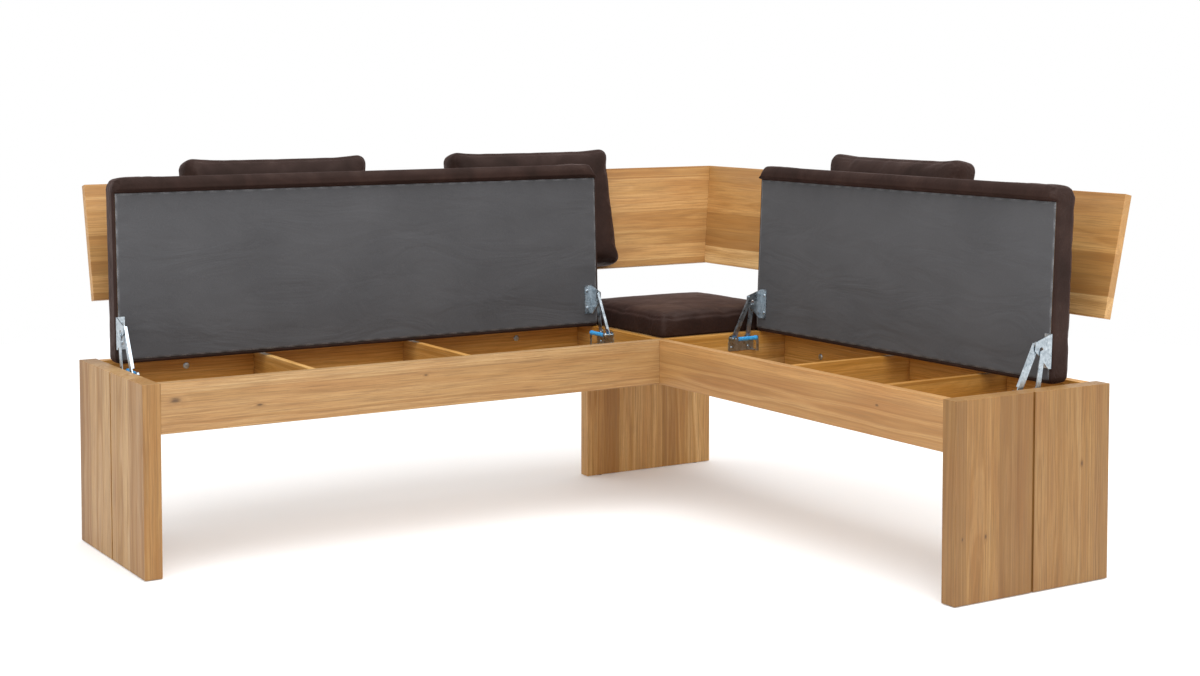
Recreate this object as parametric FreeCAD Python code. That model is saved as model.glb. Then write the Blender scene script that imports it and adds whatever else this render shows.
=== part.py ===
import FreeCAD, Part
import cmath
import math
import os

V = FreeCAD.Vector

# Corner storage bench: two bench boxes that meet in an L, each with a lid that folds up on a
# pair of sprung linkage hinges. Millimetres, +Z up. A run is drawn once in its own frame:
# x is the distance from the inner corner along the run, y is the depth from the front rail's
# face, z is the height above the floor. The long run is that frame mirrored, the short run is
# the same frame turned through a right angle. A point in the side plane is depth + 1j * height.

# Carcase
rim_height = 435.0
glide_height = 2.0
cheek_depth = 450.0
cheek_thickness = 41.0
long_run_length = 1360.0
short_run_length = 1100.0
box_depth = 430.0
rail_height = 113.0
front_rail_thickness = 25.0
rear_rail_thickness = 26.0
partition_thickness = 18.0
partition_setback = -20.0
divider_thickness = 16.0
divider_drop = 6.0
long_divider_places = (520.0, 930.0)
short_divider_places = (487.0, 822.0)
floor_panel_thickness = 8.0
floor_panel_rise = 6.0
corner_board_thickness = 16.0
edge_rounding = 1.2

# Grooves on the outer faces of the cheeks
groove_place = 222.0
groove_width = 7.0
groove_depth = 4.0

# Leg panel behind the corner
leg_panel_width = 413.0
leg_panel_thickness = 34.0
leg_top_drop = 6.0

# Backrest boards and the uprights that carry them
backrest_lean = 12.7
backrest_width = 282.0
backrest_thickness = 20.0
backrest_depth = 480.0
backrest_rise = 136.0
backrest_end_gap = 6.0
upright_thickness = 27.0
long_upright_places = (190.0, 1112.0)
short_upright_places = (150.0, 700.0)
upright_foot_length = 40.0
upright_foot_depth = 40.0
upright_waist = 50.0
upright_tip_depth = 22.0
upright_flap_gap = 8.0
long_bolt_drop = 28.0
short_bolt_drop = 56.0

# Back cushions, hung on the boards by a flap
back_cushion_width = 495.0
back_cushion_height = 325.0
back_cushion_thickness = 70.0
back_cushion_lift = 5.0
long_cushion_centres = (831.0, 91.0)
short_cushion_centre = 327.0
flap_inset = 32.0
flap_drop = 110.0
flap_thickness = 3.0

# Seat lids: the rear corner of the underside, open and closed, and the lid's lean in each
lid_open_depth = 318.0
lid_open_rise = 8.0
lid_open_angle = 87.7
lid_closed_depth = 424.0
lid_closed_rise = 0.6
lid_closed_angle = 177.8
lid_inner_end = -20.0
lid_outer_gap = 5.0
lid_mitre_gap = 2.0
lid_length = 428.0
nose_start = 393.0
nose_drop = 15.0
nose_least = 14.0
seat_thickness = 58.0
seat_crown = 5.0
seat_rear_overhang = 6.0
hem_width = 8.0
lid_board_thickness = 12.0
lining_thickness = 1.2

# Corner seat cushion
corner_cushion_start = 22.0
corner_cushion_thickness = 58.0
corner_cushion_crown = 4.0
soft_gap = 0.3

# Hinges: pivots on the base plate, and the depth of their partners on the lid when open
front_pivot_depth = 226.0
front_pivot_drop = 12.0
rear_pivot_depth = 277.0
rear_pivot_drop = 10.0
lid_front_pivot_depth = 280.0
lid_rear_pivot_depth = 290.0
base_plate_start = 217.0
base_plate_end = 298.0
base_plate_top_drop = 19.0
plate_lug_radius = 7.5
ear_width = 6.0
base_plate_bottom_drop = 46.0
plate_thickness = 2.5
arm_thickness = 2.4
front_arm_width = 14.0
rear_arm_width = 13.0
arm_flange = 5.0
layer_gap = 1.2
pin_radius = 3.0
pin_clearance = 0.08
pin_head_radius = 5.0
pin_head_height = 1.5
slot_clearance = 0.4
bracket_thickness = 2.0
bracket_flange_width = 21.0
bracket_tip = 4.0
bracket_foot = 28.0
bracket_height = 76.0
sleeve_radius = 5.4
sleeve_collar = 5.0
sleeve_start_gap = 7.0
sleeve_end_gap = 0.5
rod_radius = 3.0
rod_clearance = 0.15
rod_eye_wall = 3.5
rod_eye_thickness = 4.4

# Fasteners and glides
screw_head_radius = 4.2
screw_head_height = 1.8
screw_shank_radius = 1.8
screw_length = 14.0
screw_clearance = 0.15
bolt_head_radius = 8.0
bolt_head_height = 2.6
bolt_shank_radius = 3.0
bolt_bite = 24.0
glide_radius = 12.0
glide_inset = 45.0

# Derived places
box_floor = rim_height - rail_height
box_front = front_rail_thickness
box_rear = box_depth - rear_rail_thickness
partition_face = partition_setback + partition_thickness
leg_panel_end = box_depth + leg_panel_thickness
leg_panel_start = leg_panel_end - leg_panel_width
floor_top = box_floor + floor_panel_rise + floor_panel_thickness
lean = math.radians(backrest_lean)
upright_reach = backrest_width - flap_drop - upright_flap_gap
flap_width = back_cushion_width - 2 * flap_inset


# Simple solids
def block(along, deep, high):
    corner = V(along[0], deep[0], high[0])
    return Part.makeBox(along[1] - along[0], deep[1] - deep[0], high[1] - high[0], corner)


def softened(shape, radius=edge_rounding):
    return shape.makeFillet(radius, shape.Edges)


def side_face(points, along):
    corners = [V(along, p.real, p.imag) for p in points]
    return Part.Face(Part.makePolygon(corners + corners[:1]))


def side_prism(points, start, end):
    return side_face(points, start).extrude(V(end - start, 0, 0))


def plan_prism(points, low, high):
    corners = [V(x, y, low) for x, y in points]
    face = Part.Face(Part.makePolygon(corners + corners[:1]))
    return face.extrude(V(0, 0, high - low))


def peg(place, radius, start, end):
    length = abs(end - start)
    direction = V(1 if end > start else -1, 0, 0)
    return Part.makeCylinder(radius, length, V(start, place.real, place.imag), direction)


def round_bar(first, second, radius, start, end):
    step = (second - first) / abs(second - first)
    across = step * 1j * radius
    ahead = step * radius

    def at(p):
        return V(start, p.real, p.imag)

    edges = [
        Part.LineSegment(at(first + across), at(second + across)).toShape(),
        Part.Arc(at(second + across), at(second + ahead), at(second - across)).toShape(),
        Part.LineSegment(at(second - across), at(first - across)).toShape(),
        Part.Arc(at(first - across), at(first - ahead), at(first + across)).toShape(),
    ]
    return Part.Face(Part.Wire(edges)).extrude(V(end - start, 0, 0))


# Placing a run's pieces in the room
def long_run(shape):
    return shape.mirror(V(0, 0, 0), V(1, 0, 0))


def short_run(shape):
    turned = shape.copy()
    turned.rotate(V(0, 0, 0), V(0, 0, 1), -90)
    return turned


# Motion of a lid in the side plane
lid_open_rear = complex(lid_open_depth, rim_height + lid_open_rise)
lid_closed_rear = complex(lid_closed_depth, rim_height + lid_closed_rise)
lid_open_way = cmath.rect(1, math.radians(lid_open_angle))
lid_travel = math.radians(lid_closed_angle - lid_open_angle)
lid_turn = cmath.rect(1, lid_travel)
lid_pole = (lid_closed_rear - lid_turn * lid_open_rear) / (1 - lid_turn)


def lid_point(along, up):
    return lid_open_rear + lid_open_way * complex(along, -up)


def lid_place(point):
    local = (point - lid_open_rear) / lid_open_way
    return local.real, -local.imag


def lid_closed(point):
    return lid_pole + lid_turn * (point - lid_pole)


def partner_pivot(base_pivot, depth):
    # The point on the lid at this depth that is as far from the base pivot open as closed
    image = lid_pole + (base_pivot - lid_pole) / lid_turn
    middle = (base_pivot + image) / 2
    gap = image - base_pivot
    return complex(depth, middle.imag - (depth - middle.real) * gap.real / gap.imag)


def arm_turn(base_pivot, lid_pivot):
    return cmath.phase((lid_closed(lid_pivot) - base_pivot) / (lid_pivot - base_pivot))


front_pivot = complex(front_pivot_depth, rim_height - front_pivot_drop)
rear_pivot = complex(rear_pivot_depth, rim_height - rear_pivot_drop)
lid_front_pivot = partner_pivot(front_pivot, lid_front_pivot_depth)
lid_rear_pivot = partner_pivot(rear_pivot, lid_rear_pivot_depth)
front_arm_travel = arm_turn(front_pivot, lid_front_pivot)
rear_arm_travel = arm_turn(rear_pivot, lid_rear_pivot)


def rear_pin_places(steps=24):
    # Where the rear arm's pin stands in the lid while the arms turn at a steady ratio
    places = []
    for step in range(steps + 1):
        share = step / steps
        front_tip = front_pivot + (lid_front_pivot - front_pivot) * cmath.rect(1, front_arm_travel * share)
        rear_tip = rear_pivot + (lid_rear_pivot - rear_pivot) * cmath.rect(1, rear_arm_travel * share)
        at_rest = lid_front_pivot + (rear_tip - front_tip) * cmath.rect(1, -lid_travel * share)
        places.append(lid_place(at_rest))
    return places


# Wood
def cheek(run_length):
    inner = run_length - cheek_thickness
    panel = softened(block((inner, run_length), (0, cheek_depth), (glide_height, rim_height)))
    groove = block(
        (run_length - groove_depth, run_length + groove_depth),
        (groove_place - groove_width / 2, groove_place + groove_width / 2),
        (0, rim_height + groove_depth),
    )
    return panel.cut(groove)


def front_rail(run_length):
    inner = run_length - cheek_thickness
    outline = [(0, 0), (inner, 0), (inner, box_front), (-box_front, box_front)]
    return softened(plan_prism(outline, box_floor, rim_height))


def rear_rail(run_length, bolt_places):
    inner = run_length - cheek_thickness
    outline = [(-box_rear, box_rear), (inner, box_rear), (inner, box_depth), (-box_depth, box_depth)]
    rail = softened(plan_prism(outline, box_floor, rim_height))
    for hole in upright_bolt_holes(bolt_places):
        rail = rail.cut(hole)
    return rail


def partition():
    span = (partition_setback, partition_face)
    board = softened(block(span, (box_front, box_rear), (box_floor, rim_height)))
    return board.cut(hinge_screw_holes(partition_face, 1))


def divider(place):
    span = (place - divider_thickness / 2, place + divider_thickness / 2)
    return softened(block(span, (box_front, box_rear), (floor_top, rim_height - divider_drop)))


def floor_panel(run_length):
    low = box_floor + floor_panel_rise
    return block((partition_face, run_length - cheek_thickness), (box_front, box_rear), (low, floor_top))


def corner_board():
    near = -partition_setback
    outline = [
        (box_front, near),
        (box_rear, near),
        (box_rear, box_rear),
        (near, box_rear),
        (near, box_front),
        (box_front, box_front),
    ]
    return plan_prism(outline, rim_height - corner_board_thickness, rim_height)


def leg_panel():
    high = (glide_height, rim_height - leg_top_drop)
    return softened(block((leg_panel_start, leg_panel_end), (box_depth, leg_panel_end), high))


# Backrest: along is measured up the board, out towards the sitter
board_foot = complex(backrest_depth, rim_height + backrest_rise)
board_way = complex(math.sin(lean), math.cos(lean))
board_out = complex(-math.cos(lean), math.sin(lean))


def board_point(along, out):
    return board_foot + board_way * along + board_out * out


def backrest(run_length):
    corners = [
        board_point(0, 0),
        board_point(backrest_width, 0),
        board_point(backrest_width, -backrest_thickness),
        board_point(0, -backrest_thickness),
    ]
    outer = run_length - cheek_thickness - backrest_end_gap
    far = -2 * (backrest_depth + backrest_width)
    board = side_prism(corners, far, outer)
    low = rim_height
    high = rim_height + backrest_rise + backrest_width
    keep = [(0, 0), (outer, 0), (outer, -far), (far, -far)]
    mitred = board.common(plan_prism(keep, low, high))
    return softened(mitred)


def upright(place, bolt_place):
    rail_back = box_depth
    foot = rim_height - rail_height
    corners = [
        complex(rail_back, foot + edge_rounding),
        complex(rail_back, foot + upright_foot_length),
        board_point(0, -backrest_thickness),
        board_point(upright_reach, -backrest_thickness),
        board_point(upright_reach, -backrest_thickness - upright_tip_depth),
        board_point(0, -backrest_thickness - upright_waist),
        complex(rail_back + upright_foot_depth, foot + edge_rounding),
    ]
    body = side_prism(corners, place - upright_thickness / 2, place + upright_thickness / 2)
    for hole in upright_bolt_holes([bolt_place]):
        body = body.cut(hole)
    return body


# Fasteners
def upright_bolt_holes(places):
    holes = []
    for place, height in places:
        start = V(place, box_rear, height)
        length = rear_rail_thickness + bolt_bite + screw_clearance
        holes.append(Part.makeCylinder(bolt_shank_radius + screw_clearance, length, start, V(0, 1, 0)))
    return holes


def upright_bolts(places):
    bolts = []
    for place, height in places:
        start = V(place, box_rear, height)
        head = Part.makeCylinder(bolt_head_radius, bolt_head_height, start, V(0, -1, 0))
        shank = Part.makeCylinder(bolt_shank_radius, rear_rail_thickness + bolt_bite, start, V(0, 1, 0))
        bolts.append(head.fuse(shank).removeSplitter())
    return bolts


def hinge_screw_places():
    height = rim_height - base_plate_bottom_drop + 10
    return [complex(base_plate_start + 11, height), complex(base_plate_end - ear_width - 11, height)]


def hinge_screw_holes(wall, side):
    # Pilot holes in the wood, and room for the shanks
    pegs = [
        peg(place, screw_shank_radius + screw_clearance, 0, plate_thickness - screw_length - screw_clearance)
        for place in hinge_screw_places()
    ]
    return seat_hinge(Part.makeCompound(pegs), wall, side)


def hinge_screws():
    screws = []
    for place in hinge_screw_places():
        head = peg(place, screw_head_radius, plate_thickness, plate_thickness + screw_head_height)
        shank = peg(place, screw_shank_radius, plate_thickness, plate_thickness - screw_length)
        screws.append(head.fuse(shank).removeSplitter())
    return screws


# Hinge pieces, drawn with x as the distance from the wall that carries the hinge
rear_arm_layer = plate_thickness + layer_gap
bracket_layer = rear_arm_layer + arm_thickness + layer_gap
front_arm_layer = bracket_layer + bracket_thickness + layer_gap
flange_end = front_arm_layer + arm_thickness + arm_flange
rod_layer = flange_end + layer_gap
rod_centre = rod_layer + sleeve_radius
rod_height = front_pivot.imag


def seat_hinge(shape, wall, side):
    placed = shape.copy() if side > 0 else shape.mirror(V(0, 0, 0), V(1, 0, 0))
    placed.translate(V(wall, 0, 0))
    return placed


def base_plate():
    low = rim_height - base_plate_bottom_drop
    web = block((0, plate_thickness), (base_plate_start, base_plate_end), (low, rim_height - base_plate_top_drop))
    web = web.makeFillet(5.0, [edge for edge in web.Edges if is_along_x(edge)])
    for place in (front_pivot, rear_pivot):
        foot = complex(place.real, rim_height - base_plate_top_drop - plate_lug_radius)
        web = web.fuse(round_bar(foot, place, plate_lug_radius, 0, plate_thickness))
    ear_depth = (base_plate_end - ear_width, base_plate_end)
    ledge = block((0, rod_centre + plate_thickness / 2), ear_depth, (low, low + plate_thickness))
    ear = block(
        (rod_centre - plate_thickness / 2, rod_centre + plate_thickness / 2),
        ear_depth,
        (low, rod_height + rod_radius + plate_thickness),
    )
    plate = web.fuse([ledge, ear])
    for place, reach in ((front_pivot, rod_centre + rod_radius), (rear_pivot, rear_arm_layer + arm_thickness)):
        plate = plate.fuse(peg(place, pin_radius, 0, reach + layer_gap))
    for place in hinge_screw_places():
        plate = plate.cut(peg(place, screw_shank_radius + screw_clearance, -1, plate_thickness + 1))
    return plate.removeSplitter()


def is_along_x(edge):
    first, last = edge.Vertexes[0].Point, edge.Vertexes[-1].Point
    return abs(first.y - last.y) < 1e-6 and abs(first.z - last.z) < 1e-6


def front_arm():
    start = front_arm_layer
    end = start + arm_thickness
    web = round_bar(front_pivot, lid_front_pivot, front_arm_width / 2, start, end)
    way = (lid_front_pivot - front_pivot) / abs(lid_front_pivot - front_pivot)
    edge_out = way * 1j * front_arm_width / 2
    edge_in = way * 1j * (front_arm_width / 2 - arm_thickness)
    near = front_pivot + way * front_arm_width
    far = lid_front_pivot
    flange = side_prism([near + edge_out, far + edge_out, far + edge_in, near + edge_in], start, flange_end)
    arm = web.fuse(flange)
    arm = arm.cut(peg(front_pivot, pin_radius + pin_clearance, start - 1, end + 1))
    pin = peg(lid_front_pivot, pin_radius, end, bracket_layer)
    head = peg(lid_front_pivot, pin_head_radius, end, end + pin_head_height)
    return arm.fuse([pin, head]).removeSplitter()


def rear_arm():
    start = rear_arm_layer
    end = start + arm_thickness
    arm = round_bar(rear_pivot, lid_rear_pivot, rear_arm_width / 2, start, end)
    arm = arm.cut(peg(rear_pivot, pin_radius + pin_clearance, start - 1, end + 1))
    pin = peg(lid_rear_pivot, pin_radius, start, bracket_layer + bracket_thickness)
    return arm.fuse(pin).removeSplitter()


def bracket_screw_places():
    return [lid_point(bracket_foot + share * bracket_height, 0) for share in (0.2, 0.8)]


def lid_bracket():
    top = bracket_foot + bracket_height
    pivot_along, pivot_up = lid_place(lid_front_pivot)
    reach = pivot_up - front_arm_width / 2 - 1
    corners = [
        lid_point(bracket_foot, 0),
        lid_point(top, 0),
        lid_point(top, -bracket_tip),
        lid_point(pivot_along + pin_head_radius, reach),
        lid_point(pivot_along - front_arm_width, reach),
        lid_point(bracket_foot, -2 * bracket_tip),
    ]
    start = bracket_layer
    end = start + bracket_thickness
    cheek_plate = side_prism(corners, start, end)
    flange = side_prism(
        [
            lid_point(bracket_foot, 0),
            lid_point(top, 0),
            lid_point(top, -bracket_thickness),
            lid_point(bracket_foot, -bracket_thickness),
        ],
        start,
        start + bracket_flange_width,
    )
    bracket = cheek_plate.fuse(flange)
    bracket = bracket.cut(peg(lid_front_pivot, pin_radius + pin_clearance, start - 1, end + 1))
    places = rear_pin_places()
    low = min(up for along, up in places)
    high = max(up for along, up in places)
    first = min(along for along, up in places)
    last = max(along for along, up in places)
    radius = pin_radius + slot_clearance + (high - low) / 2
    middle = (low + high) / 2
    slack = (high - low) / 2
    slot_first = lid_point(first + slack, middle)
    slot_last = lid_point(last - slack, middle)
    bracket = bracket.cut(round_bar(slot_first, slot_last, radius, start - 1, end + 1))
    for hole in bracket_screw_holes():
        bracket = bracket.cut(hole)
    return bracket.removeSplitter()


def bracket_screw_line(place, radius, start, end):
    # A round bar square to the lid's underside; start and end are heights above that underside
    away = lid_open_way * -1j
    foot = place + away * start
    direction = V(0, away.real, away.imag) * (1 if end > start else -1)
    centre = bracket_layer + bracket_flange_width * 0.6
    return Part.makeCylinder(radius, abs(end - start), V(centre, foot.real, foot.imag), direction)


def bracket_screw_holes():
    deep = lining_thickness + lid_board_thickness - screw_clearance
    radius = screw_shank_radius + screw_clearance
    return [bracket_screw_line(place, radius, -2 * bracket_thickness, deep) for place in bracket_screw_places()]


def bracket_screws():
    screws = []
    deep = lining_thickness + lid_board_thickness - 1
    for place in bracket_screw_places():
        head = bracket_screw_line(place, screw_head_radius, -bracket_thickness, -bracket_thickness - screw_head_height)
        shank = bracket_screw_line(place, screw_shank_radius, -bracket_thickness, deep)
        screws.append(head.fuse(shank).removeSplitter())
    return screws


def spring_rod():
    half = rod_eye_thickness / 2
    start = front_pivot_depth + pin_radius + rod_eye_wall / 2
    end = base_plate_end - ear_width
    bar = Part.makeCylinder(rod_radius, end - start, V(rod_centre, start, rod_height), V(0, 1, 0))
    eye = peg(front_pivot, pin_radius + rod_eye_wall, rod_centre - half, rod_centre + half)
    hole = peg(front_pivot, pin_radius + pin_clearance, rod_centre - half - 1, rod_centre + half + 1)
    return bar.fuse(eye.cut(hole)).removeSplitter()


def spring_sleeve():
    start = front_pivot_depth + sleeve_start_gap
    end = base_plate_end - ear_width - sleeve_end_gap
    centre = V(rod_centre, start, rod_height)
    outer = Part.makeCylinder(sleeve_radius, end - start, centre, V(0, 1, 0))
    collar_place = V(rod_centre, end - sleeve_collar, rod_height)
    collar = Part.makeCylinder(sleeve_radius + 0.9, sleeve_collar, collar_place, V(0, 1, 0))
    bore = Part.makeCylinder(rod_radius + rod_clearance, end - start, centre, V(0, 1, 0))
    return outer.fuse(collar).cut(bore).removeSplitter()


# Soft pieces: each is a ruled loft through rounded sections that draw in at both ends
def arc_edge(first, middle, last, along):
    return Part.Arc(*[V(along, p.real, p.imag) for p in (first, middle, last)]).toShape()


def line_edge(first, last, along):
    return Part.LineSegment(V(along, first.real, first.imag), V(along, last.real, last.imag)).toShape()


def corner_arc(first, corner, last, along):
    middle = corner + ((first + last) / 2 - corner) * 0.42
    return arc_edge(first, middle, last, along)


def pad_section(at, along, span, rise, radius, crown, bulge, low_radius):
    # at maps (length, height) to the side plane; span and rise are the pad's limits there
    s0, s1 = span
    n0, n1 = rise
    mid_s, mid_n = (s0 + s1) / 2, (n0 + n1) / 2
    edges = [
        line_edge(at(s0 + low_radius, n0), at(s1 - low_radius, n0), along),
        corner_arc(at(s1 - low_radius, n0), at(s1, n0), at(s1, n0 + low_radius), along),
        arc_edge(at(s1, n0 + low_radius), at(s1 + bulge, mid_n), at(s1, n1 - radius), along),
        corner_arc(at(s1, n1 - radius), at(s1, n1), at(s1 - radius, n1), along),
        arc_edge(at(s1 - radius, n1), at(mid_s, n1 + crown), at(s0 + radius, n1), along),
        corner_arc(at(s0 + radius, n1), at(s0, n1), at(s0, n1 - radius), along),
        arc_edge(at(s0, n1 - radius), at(s0 - bulge, mid_n), at(s0, n0 + low_radius), along),
        corner_arc(at(s0, n0 + low_radius), at(s0, n0), at(s0 + low_radius, n0), along),
    ]
    return Part.Wire(edges)


def seat_section(along, draw, crown, bulge):
    # The seat pad's section, with the nose that laps over the front rail. At the inner corner the
    # nose is cut back to the mitre where the two closed seats meet.
    radius = 16.0
    low = 5.0
    s0 = -seat_rear_overhang + draw
    s1 = min(lid_length, lid_closed_depth + along - lid_mitre_gap) - draw
    nose = min(nose_start, s1 - nose_least)
    bend = min(3.0, (s1 - nose) / 8)
    front = min(10.0, (s1 - nose) / 3)
    top = seat_thickness - draw
    drop = -nose_drop + draw * 0.8

    def at(s, n):
        return lid_point(s, n)

    edges = [
        line_edge(at(s0 + low, 0), at(nose, 0), along),
        line_edge(at(nose, 0), at(nose + bend, drop + 3), along),
        arc_edge(at(nose + bend, drop + 3), at((nose + s1) / 2, drop - 0.5), at(s1 - front, drop + 1), along),
        corner_arc(at(s1 - front, drop + 1), at(s1, drop), at(s1, drop + 12), along),
        arc_edge(at(s1, drop + 12), at(s1 + bulge, top / 2), at(s1, top - radius), along),
        corner_arc(at(s1, top - radius), at(s1, top), at(s1 - radius, top), along),
        arc_edge(at(s1 - radius, top), at((s0 + s1) / 2, top + crown), at(s0 + radius, top), along),
        corner_arc(at(s0 + radius, top), at(s0, top), at(s0, top - radius), along),
        arc_edge(at(s0, top - radius), at(s0 - bulge, top / 2), at(s0, low), along),
        corner_arc(at(s0, low), at(s0, 0), at(s0 + low, 0), along),
    ]
    return Part.Wire(edges)


def pad_stations(start, end, ease):
    # Where the sections stand, and how far each is drawn in and crowned
    return [
        (start, 7.0, 0.35),
        (start + 0.3 * ease, 2.6, 0.6),
        (start + ease, 0.0, 0.85),
        ((start + end) / 2, 0.0, 1.0),
        (end - ease, 0.0, 0.85),
        (end - 0.3 * ease, 2.6, 0.6),
        (end, 7.0, 0.35),
    ]


def lofted(sections):
    return Part.makeLoft(sections, True, True)


def lid_span(run_length):
    return lid_inner_end, run_length - cheek_thickness - lid_outer_gap


def seat_cushion(run_length):
    start, end = lid_span(run_length)
    stations = pad_stations(start, end, 30.0)
    pad = lofted([seat_section(x, draw, seat_crown * share, 1.6) for x, draw, share in stations])
    pocket = side_prism(
        [
            lid_point(hem_width - seat_rear_overhang - soft_gap, -nose_drop),
            lid_point(nose_start - 1 + soft_gap, -nose_drop),
            lid_point(nose_start - 1 + soft_gap, lining_thickness + lid_board_thickness + soft_gap),
            lid_point(hem_width - seat_rear_overhang - soft_gap, lining_thickness + lid_board_thickness + soft_gap),
        ],
        start + hem_width - soft_gap,
        end - hem_width + soft_gap,
    )
    return pad.cut(pocket)


def lid_layer(run_length, low, high):
    start, end = lid_span(run_length)
    rear = hem_width - seat_rear_overhang
    corners = [lid_point(rear, low), lid_point(nose_start - 1, low), lid_point(nose_start - 1, high), lid_point(rear, high)]
    layer = side_prism(corners, start + hem_width, end - hem_width)
    for wall, side in hinge_walls(run_length):
        holes = Part.makeCompound(bracket_screw_holes())
        layer = layer.cut(seat_hinge(holes, wall, side))
    return layer


def lid_board(run_length):
    return lid_layer(run_length, lining_thickness, lining_thickness + lid_board_thickness)


def lid_lining(run_length):
    return lid_layer(run_length, 0, lining_thickness)


def hinge_walls(run_length):
    return [(partition_face, 1), (run_length - cheek_thickness, -1)]


def corner_cushion():
    start = corner_cushion_start
    end = box_depth
    low = rim_height + soft_gap

    def at(depth, height):
        return complex(depth, low + height)

    sections = [
        pad_section(
            at, x, (start + draw, end - draw), (0, corner_cushion_thickness - draw), 15.0,
            corner_cushion_crown * share, 1.4, 6.0,
        )
        for x, draw, share in pad_stations(start, end, 28.0)
    ]
    return lofted(sections)


def back_cushion(centre):
    start = centre - back_cushion_width / 2
    end = centre + back_cushion_width / 2

    def at(along, out):
        return board_point(along, out)

    sections = []
    for x, draw, share in pad_stations(start, end, 34.0):
        span = (back_cushion_lift + draw, back_cushion_lift + back_cushion_height - 2 * draw)
        rise = (soft_gap, soft_gap + back_cushion_thickness - draw)
        sections.append(pad_section(at, x, span, rise, 22.0, 6.0 * share, 1.5, 9.0))
    return lofted(sections)


def cushion_flap(centre):
    top = backrest_width + soft_gap
    inner = -backrest_thickness - soft_gap
    outer = inner - flap_thickness
    corners = [
        board_point(top, 0),
        board_point(top + flap_thickness, 0),
        board_point(top + flap_thickness, outer),
        board_point(top - flap_drop, outer),
        board_point(top - flap_drop, inner),
        board_point(top, inner),
    ]
    return side_prism(corners, centre - flap_width / 2, centre + flap_width / 2)


def glide(x, y):
    return Part.makeCylinder(glide_radius, glide_height, V(x, y, 0), V(0, 0, 1))


# The whole bench
nodes = {}


def add(name, *shapes):
    nodes[name] = shapes[0] if len(shapes) == 1 else Part.makeCompound(list(shapes))


runs = (
    ("long", long_run, long_run_length, long_divider_places, long_upright_places, long_bolt_drop),
    ("short", short_run, short_run_length, short_divider_places, short_upright_places, short_bolt_drop),
)
screws = []
bolts = []
glides = []
rods = []
for run, place, length, divider_places, upright_places, bolt_drop in runs:
    side_name = "left" if run == "long" else "right"
    wall = length - cheek_thickness
    bolt_places = [(where, rim_height - bolt_drop) for where in upright_places]
    add(side_name + "_cheek", place(cheek(length).cut(hinge_screw_holes(wall, -1))))
    add(run + "_front_rail", place(front_rail(length)))
    add(run + "_rear_rail", place(rear_rail(length, bolt_places)))
    add(run + "_partition", place(partition()))
    for number, where in enumerate(divider_places, 1):
        add(f"{run}_divider_{number}", place(divider(where)))
    add(run + "_box_floor", place(floor_panel(length)))
    add(run + "_backrest", place(backrest(length)))
    add(run + "_backrest_uprights", *[place(upright(spot[0], spot)) for spot in bolt_places])
    bolts += [place(bolt) for bolt in upright_bolts(bolt_places)]
    add(run + "_lid_board", place(lid_board(length)))
    add(run + "_lid_lining", place(lid_lining(length)))
    add(run + "_seat_cushion", place(seat_cushion(length)))
    lid_screws = []
    for hinge_name, (hinge_wall, side) in zip(("inner", "outer"), hinge_walls(length)):
        tag = f"{run}_{hinge_name}"
        add(tag + "_hinge_plate", place(seat_hinge(base_plate(), hinge_wall, side)))
        add(tag + "_front_arm", place(seat_hinge(front_arm(), hinge_wall, side)))
        add(tag + "_rear_arm", place(seat_hinge(rear_arm(), hinge_wall, side)))
        add(tag + "_lid_bracket", place(seat_hinge(lid_bracket(), hinge_wall, side)))
        add(tag + "_spring_sleeve", place(seat_hinge(spring_sleeve(), hinge_wall, side)))
        rods.append(place(seat_hinge(spring_rod(), hinge_wall, side)))
        screws += [place(seat_hinge(screw, hinge_wall, side)) for screw in hinge_screws()]
        lid_screws += [place(seat_hinge(screw, hinge_wall, side)) for screw in bracket_screws()]
    add(run + "_lid_screws", *lid_screws)
    middle = length - cheek_thickness / 2
    glides += [place(glide(middle, y)) for y in (glide_inset, cheek_depth - glide_inset)]

add("corner_leg_panel", leg_panel())
leg_middle = box_depth + leg_panel_thickness / 2
for x in (leg_panel_start + glide_inset, leg_panel_end - glide_inset):
    glides.append(glide(x, leg_middle))
add("corner_seat_board", corner_board())
add("corner_seat_cushion", corner_cushion())
for name, centre in zip(("left", "middle"), long_cushion_centres):
    add(name + "_back_cushion", long_run(back_cushion(centre)))
    add(name + "_cushion_flap", long_run(cushion_flap(centre)))
add("right_back_cushion", short_run(back_cushion(short_cushion_centre)))
add("right_cushion_flap", short_run(cushion_flap(short_cushion_centre)))
add("spring_rods", *rods)
add("hinge_screws", *screws)
add("upright_bolts", *bolts)
add("floor_glides", *glides)

# The origin is on the floor under the middle of the whole bench's box
box = FreeCAD.BoundBox()
for shape in nodes.values():
    box.add(shape.optimalBoundingBox(False))
origin_shift = V(-box.Center.x, -box.Center.y, 0)

os.makedirs("parts", exist_ok=True)
for name, shape in nodes.items():
    shape.translate(origin_shift)
    shape.exportStep(f"parts/{name}.step")
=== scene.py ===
import math

import bmesh
import bpy
import numpy as np
from mathutils import Matrix, Vector


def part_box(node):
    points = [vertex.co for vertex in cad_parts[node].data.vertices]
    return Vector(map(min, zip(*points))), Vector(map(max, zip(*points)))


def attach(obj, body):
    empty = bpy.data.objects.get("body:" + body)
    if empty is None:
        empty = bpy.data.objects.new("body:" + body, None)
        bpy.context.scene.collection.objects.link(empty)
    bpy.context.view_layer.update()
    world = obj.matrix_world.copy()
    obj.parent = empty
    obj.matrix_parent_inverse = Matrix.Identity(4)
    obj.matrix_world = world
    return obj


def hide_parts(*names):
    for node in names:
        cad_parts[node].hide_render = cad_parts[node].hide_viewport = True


bl_info = {
    "name": "Corner storage bench",
    "version": (1, 0, 0),
    "blender": (4, 5, 0),
    "location": "View3D > Sidebar > Bench",
    "description": "Dresses the corner storage bench in oak, microfibre, lining cloth and steel",
    "category": "Add Mesh",
}

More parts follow.
